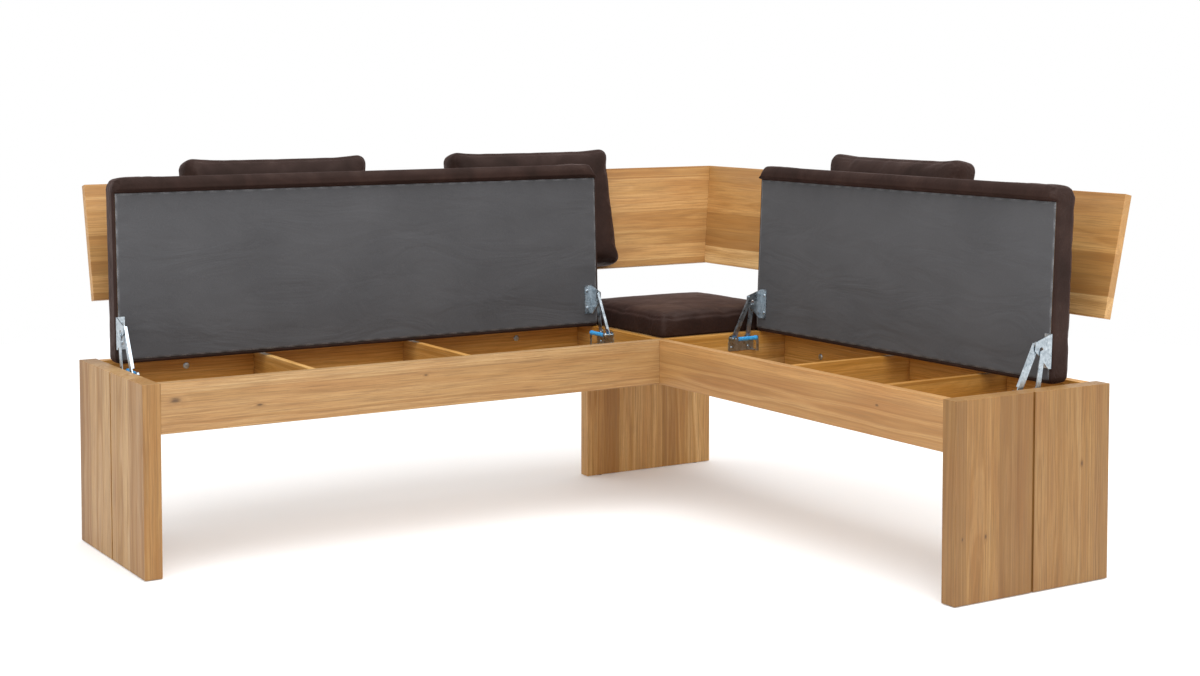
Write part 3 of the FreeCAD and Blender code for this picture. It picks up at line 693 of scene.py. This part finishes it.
# Repeated pieces
def repeat_tree(name, material):
    """A node group that sets a fastener on each point of a mesh, turned the way the point says."""
    tree = bpy.data.node_groups.new(name, "GeometryNodeTree")
    for label, way, kind in (
        ("Seats", "INPUT", "Geometry"), ("Fastener", "INPUT", "Object"),
        ("Head size", "INPUT", "Float"), ("Fasteners", "OUTPUT", "Geometry"),
    ):
        tree.interface.new_socket(label, in_out=way, socket_type="NodeSocket" + kind)
    given = add(tree, "NodeGroupInput")
    facing = add(
        tree, "GeometryNodeInputNamedAttribute", {"Name": "facing"}, data_type="FLOAT_VECTOR"
    )
    turn = add(tree, "FunctionNodeAlignRotationToVector", {"Vector": facing}, axis="Z")
    # Each cross recess points its own way
    spin = {"Min": 0.0, "Max": 1.5, "Seed": 7}
    spin = add(tree, "FunctionNodeRandomValue", spin, data_type="FLOAT")
    about = add(tree, "FunctionNodeAxisAngleToRotation", {"Axis": (0, 0, 1), "Angle": spin})
    turned = add(tree, "FunctionNodeRotateRotation", [turn, about], rotation_space="LOCAL")
    shape = add(tree, "GeometryNodeObjectInfo", {"Object": given.outputs["Fastener"]})
    setting = add(tree, "GeometryNodeInstanceOnPoints", {
        "Points": given.outputs["Seats"], "Instance": shape.outputs["Geometry"],
        "Rotation": turned, "Scale": given.outputs["Head size"],
    })
    real = add(tree, "GeometryNodeRealizeInstances", [setting])
    dressed = add(tree, "GeometryNodeSetMaterial", {"Geometry": real, "Material": material})
    add(tree, "NodeGroupOutput", [dressed])
    return tree


def socket_id(tree, name):
    sockets = tree.interface.items_tree
    return next(s.identifier for s in sockets if s.name == name and s.in_out == "INPUT")


def realised(piece, name):
    """The piece as a plain mesh, with what its modifiers make."""
    bpy.context.view_layer.update()
    depsgraph = bpy.context.evaluated_depsgraph_get()
    mesh = bpy.data.meshes.new_from_object(piece.evaluated_get(depsgraph))
    mesh.name = name
    plain = linked(name, mesh)
    bpy.data.objects.remove(piece)
    return plain


def turned_mesh(name, profile, sides):
    """A closed solid turned about Z from (radius, height) points that start and end on the axis."""
    form = bmesh.new()
    angles = [2 * math.pi * k / sides for k in range(sides)]
    rings = [
        [form.verts.new((radius * math.cos(a), radius * math.sin(a), height)) for a in angles]
        for radius, height in profile[1:-1]
    ]
    first = form.verts.new((0, 0, profile[0][1]))
    last = form.verts.new((0, 0, profile[-1][1]))
    for k in range(sides):
        n = (k + 1) % sides
        form.faces.new((first, rings[0][n], rings[0][k]))
        form.faces.new((last, rings[-1][k], rings[-1][n]))
        for lower, upper in zip(rings, rings[1:]):
            form.faces.new((lower[k], lower[n], upper[n], upper[k]))
    bmesh.ops.recalc_face_normals(form, faces=form.faces)
    return form_mesh(name, form)


def box_mesh(name, low, high):
    form = bmesh.new()
    bmesh.ops.create_cube(form, size=1.0)
    for vertex in form.verts:
        place = (low[a] + (vertex.co[a] + 0.5) * (high[a] - low[a]) for a in range(3))
        vertex.co = Vector(place)
    return form_mesh(name, form)


def crosshead_screw(rise, shank, length):
    """A pan-head screw with a cross recess, for a head of radius 1 with its top at the origin."""
    profile = [
        (0, -rise - length), (shank * 0.3, -rise - length), (shank, -rise - length + shank * 1.6),
        (shank, -rise), (1, -rise), (1, -rise * 0.62), (0.93, -rise * 0.32), (0.76, -rise * 0.1),
        (0.5, 0.0), (0, 0.0),
    ]
    screw = linked("screw", turned_mesh("screw", profile, 24))
    cutters = []
    for wide, deep in ((0.52, 0.13), (0.13, 0.52)):
        slot = box_mesh("slot", (-wide, -deep, -rise * 0.72), (wide, deep, rise))
        cutters.append(linked("slot", slot))
        cut = screw.modifiers.new("Recess", "BOOLEAN")
        cut.object = cutters[-1]
        cut.operation = "DIFFERENCE"
        cut.solver = "EXACT"
    plain = realised(screw, "screw_form")
    for cutter in cutters:
        bpy.data.objects.remove(cutter)
    return plain


def domed_cap(rise, shank, length):
    """A bolt with a domed cap over its head, for a cap of radius 1 with its top at the origin."""
    profile = [
        (0, -rise - length), (shank, -rise - length), (shank, -rise), (1, -rise),
        (1, -rise * 0.75), (0.96, -rise * 0.5), (0.8, -rise * 0.22), (0.5, -rise * 0.06), (0, 0.0),
    ]
    return linked("cap_form", turned_mesh("cap_form", profile, 32))


def fastener_seats(node):
    """What each fastener in a node is like.

    That is the middle of its head's outer face, the way it faces, the radius and the thickness of
    its head, and the radius and the length of its shank.
    """
    form = bmesh.new()
    form.from_mesh(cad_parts[node].data)
    bmesh.ops.remove_doubles(form, verts=form.verts, dist=1e-6)
    left = set(form.verts)
    seats = []
    while left:
        group, edge = set(), [left.pop()]
        while edge:
            vertex = edge.pop()
            group.add(vertex)
            for link in vertex.link_edges:
                other = link.other_vert(vertex)
                if other in left:
                    left.discard(other)
                    edge.append(other)
        points = np.array([v.co for v in group])
        centre = (points.min(axis=0) + points.max(axis=0)) / 2
        axis = np.linalg.svd(points - centre)[2][0]
        reach = (points - centre) @ axis
        spread = np.linalg.norm((points - centre) - np.outer(reach, axis), axis=1)
        # The wider end is the head
        if spread[reach > reach.max() * 0.9].max() < spread[reach < reach.min() * 0.9].max():
            axis, reach = -axis, -reach
        shank = spread[reach < reach.min() * 0.5].max()
        rise = reach.max() - reach[spread > shank * 1.2].min()
        length = reach.max() - reach.min() - rise
        seats.append((centre + axis * reach.max(), axis, spread.max(), rise, shank, length))
    form.free()
    return sorted(seats, key=lambda s: tuple(np.round(s[0], 5)))


def set_fasteners(name, node, body, maker):
    """Puts a detailed fastener where each of a node's plain ones is."""
    seats = fastener_seats(node)
    head = seats[0][2]
    template = maker(*(size / head for size in seats[0][3:]))
    mesh = bpy.data.meshes.new(name + "_seats")
    mesh.from_pydata([tuple(s[0]) for s in seats], [], [])
    facing = mesh.attributes.new("facing", "FLOAT_VECTOR", "POINT")
    for item, seat in zip(facing.data, seats):
        item.vector = seat[1]
    carrier = linked(name + "_seats", mesh)
    tree = repeat_tree(name + "_layout", kept_material(zinc_steel))
    layout = carrier.modifiers.new("Layout", "NODES")
    layout.node_group = tree
    layout[socket_id(tree, "Fastener")] = template
    layout[socket_id(tree, "Head size")] = float(head)
    piece = realised(carrier, name)
    bpy.data.objects.remove(template)
    finish_piece(piece, body, node)


# Pieces
def seat_pad(run):
    """One folding seat: a foam pad in its cover, with the nose that laps the front rail."""
    sizes = bpy.context.scene.bench_sizes
    lean = lid_lean(run)
    low, high = lean.span(f"{run}_seat_cushion")
    board_top = lean.span(f"{run}_lid_board")[1][2]
    lining_low, lining_high = lean.span(f"{run}_lid_lining")
    nose_from = lining_high[1] + COVER_INSET
    low = np.array([low[0] + COVER_INSET, low[1] + COVER_INSET, 0.0])
    high = np.array([high[0] - 0.0005, high[1] - COVER_INSET, high[2] - sizes.seat_crown])
    radii = (0.006, 0.016)
    steps = block_steps(low, high, radii)
    # Lattice lines at the edges of the recess for the board and at the nose
    for axis in (0, 1):
        for mark in (lining_low[axis], lining_high[axis]):
            steps[axis] += [mark - 0.0003, mark + 0.0003]
    steps[1] += [nose_from + 0.003, nose_from + 0.007, nose_from + 0.012]
    block = Block([sorted(places) for places in steps])
    points = block.rounded(radii, (radii[1], sizes.nose_corner))
    x, y, z = block.flat.T
    height = (z - low[2]) / (high[2] - low[2])
    block.crown(points, sizes.seat_crown, (9, 5))
    # The nose hangs below the underside
    drop = smooth(y, nose_from, nose_from + 0.006) * (1 - smooth(height, 0.0, 0.75))
    points[:, 2] -= sizes.nose_drop * drop
    # The nose's roll rounds off at its ends and its front
    roll = smooth(y, nose_from - 0.002, nose_from + 0.010) * (1 - smooth(height, 0.05, 0.4))
    ends = smooth(x, low[0], low[0] + 0.012) * (1 - smooth(x, high[0] - 0.012, high[0]))
    front = smooth(y, high[1] - 0.016, high[1])
    points[:, 2] += roll * ((1 - ends) * 0.008 + front * 0.004)
    # The recess that takes the board and its lining
    recess = (z <= low[2] + 1e-9) & (x > lining_low[0]) & (x < lining_high[0])
    recess &= (y > lining_low[1]) & (y < lining_high[1])
    points[recess, 2] = board_top + 0.0003
    # Sides bow out a little between the seams
    bow = sizes.side_bow * np.sin(np.pi * np.clip(height, 0, 1))
    for axis, share in ((0, 0.3), (1, 1.0)):
        place = block.flat[:, axis]
        on_side = np.minimum(place - low[axis], high[axis] - place) < 1e-6
        outward = np.where(place < (low[axis] + high[axis]) / 2, -1, 1) * on_side
        points[:, axis] += outward * bow * share
    # Mitred at the inner corner, where the two closed seats meet
    cut = np.clip(low[0] + sizes.mitre - x, 0, sizes.mitre)
    points[:, 1] -= cut * np.clip((y - nose_from) / (high[1] - nose_from), 0, 1)
    # Gathers about 17 mm apart in the nose near its ends
    end = np.minimum(x - low[0], high[0] - x)
    fold = np.sin(end * 2 * np.pi / 0.017 + 0.6 * np.sin(y * 160))
    fold *= np.exp(-end / 0.022) * smooth(end, 0.0, 0.006)
    points[:, 2] += 0.0009 * fold * smooth(y, nose_from, nose_from + 0.01)
    stuffed(
        f"{run}_seat_pad", f"{run}_lid", f"{run}_seat_cushion", lean, block, points,
        held=np.nonzero((height < 0.12) | recess)[0], caps=(0.0012, 0.003, 0.005), slack=0.012,
        seam=(0.0012, 0.003),
    )


def loose_cushion(name, node, lean, radii, corner, crown, caps=(0.004, 0.004, 0.007)):
    """A boxed cushion in leaning axes, drawn from the room its CAD solid holds."""
    sizes = bpy.context.scene.bench_sizes
    low, high = lean.span(node)
    low = low + np.array([COVER_INSET, COVER_INSET, 0.0])
    high = high - np.array([COVER_INSET, COVER_INSET, crown])
    block = Block(block_steps(low, high, radii))
    points = block.rounded(radii, (corner, corner))
    share = block.share
    block.crown(points, crown, (4, 4))
    # The sides pull in between the corners, and bow out between the seams
    bulge = sizes.side_bow * np.sin(np.pi * np.clip(share[:, 2], 0, 1))
    for a, b in ((0, 1), (1, 0)):
        across = 2 * share[:, a] - 1
        side = np.sign(across) * smooth(np.abs(across), 0.6, 1.0)
        waist = SIDE_PULL * (1 - np.abs(2 * share[:, b] - 1) ** 3)
        points[:, a] += side * (bulge - waist)
    stuffed(
        name, FRAME_BODY, node, lean, block, points, held=np.nonzero(share[:, 2] < 0.1)[0],
        caps=caps, slack=0.02, seam=(0.0016, 0.0032),
    )


def lining_sheet(run):
    """The grey cloth under a seat, pulled over the board, with a little slack between its edges."""
    lean = lid_lean(run)
    low, high = lean.span(f"{run}_lid_lining")
    lines = []
    for a in range(2):
        count = max(4, round((high[a] - low[a]) / LINING_CELL))
        lines.append(np.linspace(low[a], high[a], count + 1))
    x, y = np.meshgrid(*lines, indexing="ij")
    end = np.minimum(x - low[0], high[0] - x)
    side = np.minimum(y - low[1], high[1] - y)
    edge = np.minimum(end, side)
    # Flat under the hinge brackets, and where the closed seat lies on the rear rail
    brackets = (1 - smooth(end, 0.045, 0.075)) * (y < low[1] + 0.125)
    flat = np.maximum(brackets, 1 - smooth(y - low[1], 0.026, 0.06))
    waves = np.sin(x * 21 + 3 * np.sin(y * 9)) * 0.5 + np.sin(x * 47 - y * 33) * 0.22
    waves += np.sin(y * 55 + x * 13) * 0.28
    sag = smooth(edge, 0.012, 0.09) * (0.0011 + 0.0009 * waves)
    # Staples pucker the cloth
    turn = 2 * np.pi / STAPLE_SPACING
    along, across = (0.5 - 0.5 * np.cos(w * turn + 1.3 * np.sin(w * 17)) for w in (x, y))
    for pucker, reach in ((along, side), (across, end)):
        sag += 0.0013 * pucker * smooth(reach, 0.001, 0.009) * (1 - smooth(reach, 0.012, 0.042))
    sag *= 1 - flat
    outer = np.stack([x, y, -sag], axis=-1)
    inner = np.stack([x, y, 0.0009 - sag * 0.9], axis=-1)
    # Painted highlight along the hem, passed on as gather: strongest at the edge, brighter over the
    # puckers
    painted_hem_highlight = np.exp(-((edge / 0.003) ** 2)) * (0.15 + 0.85 * np.where(side < end, along, across))
    painted_hem_highlight = np.tile(painted_hem_highlight.reshape(-1), 2)
    piece = cloth(f"{run}_lining", lean, outer, inner, kept_material(grey_lining), gather=painted_hem_highlight)
    finish_piece(piece, f"{run}_lid", f"{run}_lid_lining")


def hanging_flap(name, node, lean):
    """The cloth flap that hooks a back cushion over the top of the backrest board."""
    low, high = lean.span(node)
    thickness = 0.0022
    board_top = high[1] - 0.0033
    back = low[2] + 0.003
    # The flap's line: from behind the cushion, over the board's top edge, down its back
    line = [(board_top + 0.0010, 0.0)]
    line += [(board_top + 0.0008, -0.002 - 0.0155 * k / 4) for k in range(5)]
    line += [(board_top - 0.001, back + 0.0007), (board_top - 0.004, back - 0.0003)]
    length = board_top - low[1]
    fall = (length - 0.004) / 14
    line += [(board_top - 0.004 - fall * k, back - 0.0006) for k in range(1, 15)]
    line = np.array(line)
    step = np.gradient(line, axis=0)
    off = np.stack([step[:, 1], -step[:, 0]], axis=-1)
    off /= np.linalg.norm(off, axis=1, keepdims=True)
    down = np.clip((board_top - line[:, 0]) / length, 0, 1) * (line[:, 1] < back + 0.001)
    outer, inner = [], []
    for x in np.linspace(low[0], high[0], 45):
        ripple = down ** 1.5 * (1 + math.sin(x * 61) * 0.6 + math.sin(x * 23 + 1) * 0.4)
        hung = line - np.outer(0.0011 * ripple, (0, 1))
        for side, place in ((outer, hung), (inner, hung + off * thickness)):
            side.append(np.column_stack([np.full(len(line), x), place]))
    cover = kept_material(brown_microfibre)
    piece = cloth(name, lean, np.array(outer), np.array(inner), cover)
    finish_piece(piece, FRAME_BODY, node)


# What a user can change
def length_property(name, description, default):
    return bpy.props.FloatProperty(
        name=name, description=description, default=default, subtype="DISTANCE", unit="LENGTH"
    )


def angle_property(name, description, degrees):
    return bpy.props.FloatProperty(
        name=name, description=description, default=math.radians(degrees), subtype="ANGLE",
        unit="ROTATION",
    )


def colour_property(name, description, default):
    description = "sRGB hex colour of " + description
    return bpy.props.StringProperty(name=name, description=description, default=default)


class BenchSizes(bpy.types.PropertyGroup):
    lid_tilt: angle_property("Lid tilt", "How far an open lid leans back", 2.3)
    backrest_tilt: angle_property("Backrest tilt", "How far the backrest leans back", 12.7)
    seat_crown: length_property("Seat crown", "Rise of a seat pad's middle over its edges", 0.005)
    nose_drop: length_property("Nose drop", "How far the nose hangs below the underside", 0.0145)
    side_bow: length_property("Side bow", "How far the sides bow out between their seams", 0.002)
    mitre: length_property("Nose mitre", "Length of the nose's cut at the inner corner", 0.027)
    nose_corner: length_property("Nose corner", "Radius of the nose's corners, in plan", 0.028)
    cover_cell: length_property("Cover cell", "Size of the cover's mesh cells", 0.009)
    stave: length_property("Stave width", "Mean width of the glued oak staves", 0.047)
    pressure: bpy.props.FloatProperty(
        name="Stuffing pressure", description="How hard the stuffing pushes out", default=4.0
    )


class BenchFinish(bpy.types.PropertyGroup):
    oak_light: colour_property("Oak, light rings", "the lightest years", "#c6a478")
    oak_mid: colour_property("Oak, middle", "the years between", "#bd976a")
    oak_warm: colour_property("Oak, warm rings", "the warmer years", "#b48d5e")
    oak_dark: colour_property("Oak, dark rings", "the darkest years", "#a77f50")
    knottiness: bpy.props.FloatProperty(
        name="Knots", description="Share of the places for a knot that have one", default=0.10,
        subtype="FACTOR", min=0, max=1,
    )
    cover: colour_property("Cover", "the microfibre", "#2a1a15")
    cover_light: colour_property("Cover, rubbed", "the nap where it is stroked", "#33221c")
    cover_dark: colour_property("Cover, shaded", "the ground between the nap", "#231611")
    lining: colour_property("Lining", "the lining cloth", "#464648")
    lining_dark: colour_property("Lining, shaded", "the lining's cloudy patches", "#3e3e40")
    zinc: colour_property("Zinc", "the plated steel", "#bfc9d0")
    sleeve: colour_property("Spring sleeve", "the plastic sleeves", "#1b86cc")


# One operator for each piece or group of like pieces
class BENCH_OT_timber(bpy.types.Operator):
    """Finish every oak board with its own staves and grain direction"""

    bl_idname = "bench.timber"
    bl_label = "Oak boards"

    def execute(self, context):
        up, east, north = Vector((0, 0, 1)), Vector((1, 0, 0)), Vector((0, 1, 0))
        sizes = context.scene.bench_sizes
        # The rails are two boards high, joined this far (mm) above their middle
        rail = {"stave": 0.088, "joint": 31.5, "sway": 0.0}
        # Painted light: boards inside the boxes are drawn lighter and warmer, for light and warm
        # bounce
        inner = {"lift": 1.25, "warmth_and_painted_bounce": 1.08}
        knots = {
            "right_cheek": [(-78, -139, 2.5), (-76, -205, 2), (48, 142, 2.5)],
            "long_front_rail": [(638, 16, 6), (440, -11, 3), (20, 22, 2)],
            "short_front_rail": [(330, 12, 2.5)],
        }
        # For each board: its node, the way of its grain, the way across, its seed, and what differs
        boards = [
            # Painted light: the leg panel, in shade under the seats, is drawn lighter and warmer
            ("corner_leg_panel", up, east, 12.4, {"lift": 1.2, "warmth_and_painted_bounce": 1.05}),
            ("corner_seat_board", east, north, 13.9, {}),
        ]
        # Painted light and shade: cheek, front rail and backrest lightness stand for the light each
        # face gets
        for run, lot, cheek, cheek_painted_light, front_painted_light, back_painted_light in (
            ("long", 1.0, "left_cheek", 0.84, 0.86, 1.14),
            ("short", 6.0, "right_cheek", 0.76, 1.18, 1.2),
        ):
            along = run_direction(run, 1, 0, 0)
            deep = run_direction(run, 0, 1, 0)
            tilt = sizes.backrest_tilt
            slope = run_direction(run, 0, math.sin(tilt), math.cos(tilt))
            back = {"sway": 3.0, "lift": back_painted_light, "warmth_and_painted_bounce": 1.0}
            boards.append((cheek, up, deep, lot + 0.3, {"lift": cheek_painted_light, "warmth_and_painted_bounce": 1.02}))
            boards += [(f"{run}_{part}", *rest) for part, *rest in (
                ("front_rail", along, up, lot + 1.4, {**rail, "lift": front_painted_light}),
                # Painted light: the rear rail is drawn much lighter and warmer, for the light
                # inside the box
                ("rear_rail", along, up, lot + 2.1, {**rail, "lift": 1.5, "warmth_and_painted_bounce": 1.08}),
                ("partition", deep, up, lot + 3.3, inner),
                ("divider_1", deep, up, lot + 4.2, inner),
                ("divider_2", deep, up, lot + 5.6, inner),
                ("box_floor", along, deep, lot + 6.1, {"stave": 0.3}),
                ("backrest", along, slope, lot + 7.7, back),
                ("backrest_uprights", up, along, lot + 8.4, {}),
                ("lid_board", along, up, lot + 9.9, {}),
            )]
        for node, grain, across, seed, extra in boards:
            low, high = (Vector(p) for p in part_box(node))
            usual = {"stave": sizes.stave, "joint": 7.0 * seed, "knots": knots.get(node, ())}
            middle = (low + high) / 2
            wear(node, oiled_oak("oak_" + node, grain, across, middle, seed, **{**usual, **extra}))
        return {"FINISHED"}


class BENCH_OT_seats(bpy.types.Operator):
    """Make the two folding seat pads in their covers"""

    bl_idname = "bench.seats"
    bl_label = "Seat pads"

    def execute(self, context):
        for run in RUNS:
            seat_pad(run)
        return {"FINISHED"}


class BENCH_OT_linings(bpy.types.Operator):
    """Pull the grey lining cloth over the seat boards"""

    bl_idname = "bench.linings"
    bl_label = "Seat linings"

    def execute(self, context):
        for run in RUNS:
            lining_sheet(run)
        return {"FINISHED"}


class BENCH_OT_corner_cushion(bpy.types.Operator):
    """Make the boxed cushion on the fixed corner seat"""

    bl_idname = "bench.corner_cushion"
    bl_label = "Corner cushion"

    def execute(self, context):
        node = "corner_seat_cushion"
        level = Lean("short", (0.0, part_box(node)[0][2]), (1.0, 0.0), (0.0, 1.0))
        loose_cushion(
            "corner_cushion", node, level, radii=(0.007, 0.014), corner=0.018, crown=0.008,
            caps=(0.001, 0.001, 0.006),
        )
        return {"FINISHED"}


class BENCH_OT_back_cushions(bpy.types.Operator):
    """Make the three back cushions and the flaps that hang them on the backrest"""

    bl_idname = "bench.back_cushions"
    bl_label = "Back cushions"

    def execute(self, context):
        for side, run in (("left", "long"), ("middle", "long"), ("right", "short")):
            lean = board_lean(run)
            loose_cushion(
                f"{side}_cushion", f"{side}_back_cushion", lean, radii=(0.010, 0.022),
                corner=0.028, crown=0.007,
            )
            hanging_flap(f"{side}_flap", f"{side}_cushion_flap", lean)
        return {"FINISHED"}


class BENCH_OT_hinges(bpy.types.Operator):
    """Finish the hinges' plates, arms, brackets, rods and sleeves"""

    bl_idname = "bench.hinges"
    bl_label = "Hinges"

    def execute(self, context):
        steel = kept_material(zinc_steel)
        for hinge in ("long_inner", "long_outer", "short_inner", "short_outer"):
            for part in ("hinge_plate", "front_arm", "rear_arm", "lid_bracket"):
                wear(f"{hinge}_{part}", steel)
            wear(f"{hinge}_spring_sleeve", kept_material(blue_sleeve))
        wear("spring_rods", steel)
        wear("floor_glides", kept_material(black_glide))
        return {"FINISHED"}


class BENCH_OT_fasteners(bpy.types.Operator):
    """Set crosshead screws in the hinges and capped bolts in the rear rails"""

    bl_idname = "bench.fasteners"
    bl_label = "Screws and caps"

    def execute(self, context):
        set_fasteners("plate_screws", "hinge_screws", FRAME_BODY, crosshead_screw)
        for run in RUNS:
            node, body = f"{run}_lid_screws", f"{run}_lid"
            set_fasteners(f"{run}_bracket_screws", node, body, crosshead_screw)
        set_fasteners("bolt_caps", "upright_bolts", FRAME_BODY, domed_cap)
        return {"FINISHED"}


class BENCH_OT_stage(bpy.types.Operator):
    """Lay the pale floor, hang the soft lights and set the camera"""

    bl_idname = "bench.stage"
    bl_label = "Stage, lights and camera"

    def execute(self, context):
        scene = context.scene
        material, tree, shader = blank_material("stage_paper_white")
        fill_inputs(tree, shader, {
            "Base Color": linear("#efefef"), "Roughness": 0.8, "Specular IOR Level": 0.1,
            "Emission Color": linear("#ffffff"), "Emission Strength": 0.14,
        })
        radius, sides = 4.2, 96
        angles = [math.tau * k / sides for k in range(sides)]
        rim = [(radius * math.cos(a), radius * math.sin(a), 0.0) for a in angles]
        floor = new_piece("stage_floor", rim, [tuple(range(sides))], material, closed=False)
        scene.world = bpy.data.worlds.new("studio")
        scene.world.use_nodes = True
        sky = scene.world.node_tree.nodes["Background"]
        fill_inputs(scene.world.node_tree, sky, {"Color": linear("#ffffff"), "Strength": 1.0})
        aim = Vector((0.1, 0.2, 0.4))
        # Each lamp's place, width and height in metres, and watts
        for name, place, wide, high, power in (
            ("overhead", (0.0, -1.2, 3.6), 4.5, 4.5, 156.0),
            ("left_side", (-4.2, -1.2, 2.4), 2.6, 2.2, 29.0),
            ("camera_side", (-1.4, -4.6, 2.6), 2.6, 2.0, 19.0),
        ):
            light = bpy.data.lights.new(name, "AREA")
            light.shape = "RECTANGLE"
            light.size, light.size_y, light.energy = wide, high, power
            lamp = linked(name, light)
            lamp.location = place
            lamp.rotation_euler = (aim - Vector(place)).to_track_quat("-Z", "Y").to_euler()
        lens = bpy.data.cameras.new("camera")
        lens.sensor_width = 36.0
        lens.lens = 58.1
        lens.shift_x = 0.00508
        lens.shift_y = -0.129
        lens.clip_end = 100.0
        camera = linked("camera", lens)
        camera.location = CORNER + Vector((-2.751, -4.075, 1.111))
        # Looking 3.2 degrees down
        camera.rotation_euler = (math.radians(90 - 3.2), 0.0, math.radians(-32.087))
        scene.camera = camera
        scene.view_settings.view_transform = "Standard"
        scene.view_settings.look = "None"
        return {"FINISHED"}


STEPS = (
    BENCH_OT_timber, BENCH_OT_seats, BENCH_OT_linings, BENCH_OT_corner_cushion,
    BENCH_OT_back_cushions, BENCH_OT_hinges, BENCH_OT_fasteners, BENCH_OT_stage,
)


class BENCH_PT_panel(bpy.types.Panel):
    bl_idname = "BENCH_PT_panel"
    bl_label = "Corner storage bench"
    bl_space_type = "VIEW_3D"
    bl_region_type = "UI"
    bl_category = "Bench"

    def draw(self, context):
        for group in (context.scene.bench_sizes, context.scene.bench_finish):
            box = self.layout.box()
            for name in group.__annotations__:
                box.prop(group, name)
        for step in STEPS:
            self.layout.operator(step.bl_idname)


CLASSES = (BenchSizes, BenchFinish) + STEPS + (BENCH_PT_panel,)


def register():
    for cls in CLASSES:
        bpy.utils.register_class(cls)
    bpy.types.Scene.bench_sizes = bpy.props.PointerProperty(type=BenchSizes)
    bpy.types.Scene.bench_finish = bpy.props.PointerProperty(type=BenchFinish)


def unregister():
    del bpy.types.Scene.bench_finish
    del bpy.types.Scene.bench_sizes
    for cls in reversed(CLASSES):
        bpy.utils.unregister_class(cls)


def main():
    register()
    bpy.ops.bench.timber()
    bpy.ops.bench.seats()
    bpy.ops.bench.linings()
    bpy.ops.bench.corner_cushion()
    bpy.ops.bench.back_cushions()
    bpy.ops.bench.hinges()
    bpy.ops.bench.fasteners()
    bpy.ops.bench.stage()


if __name__ == "__main__":
    main()
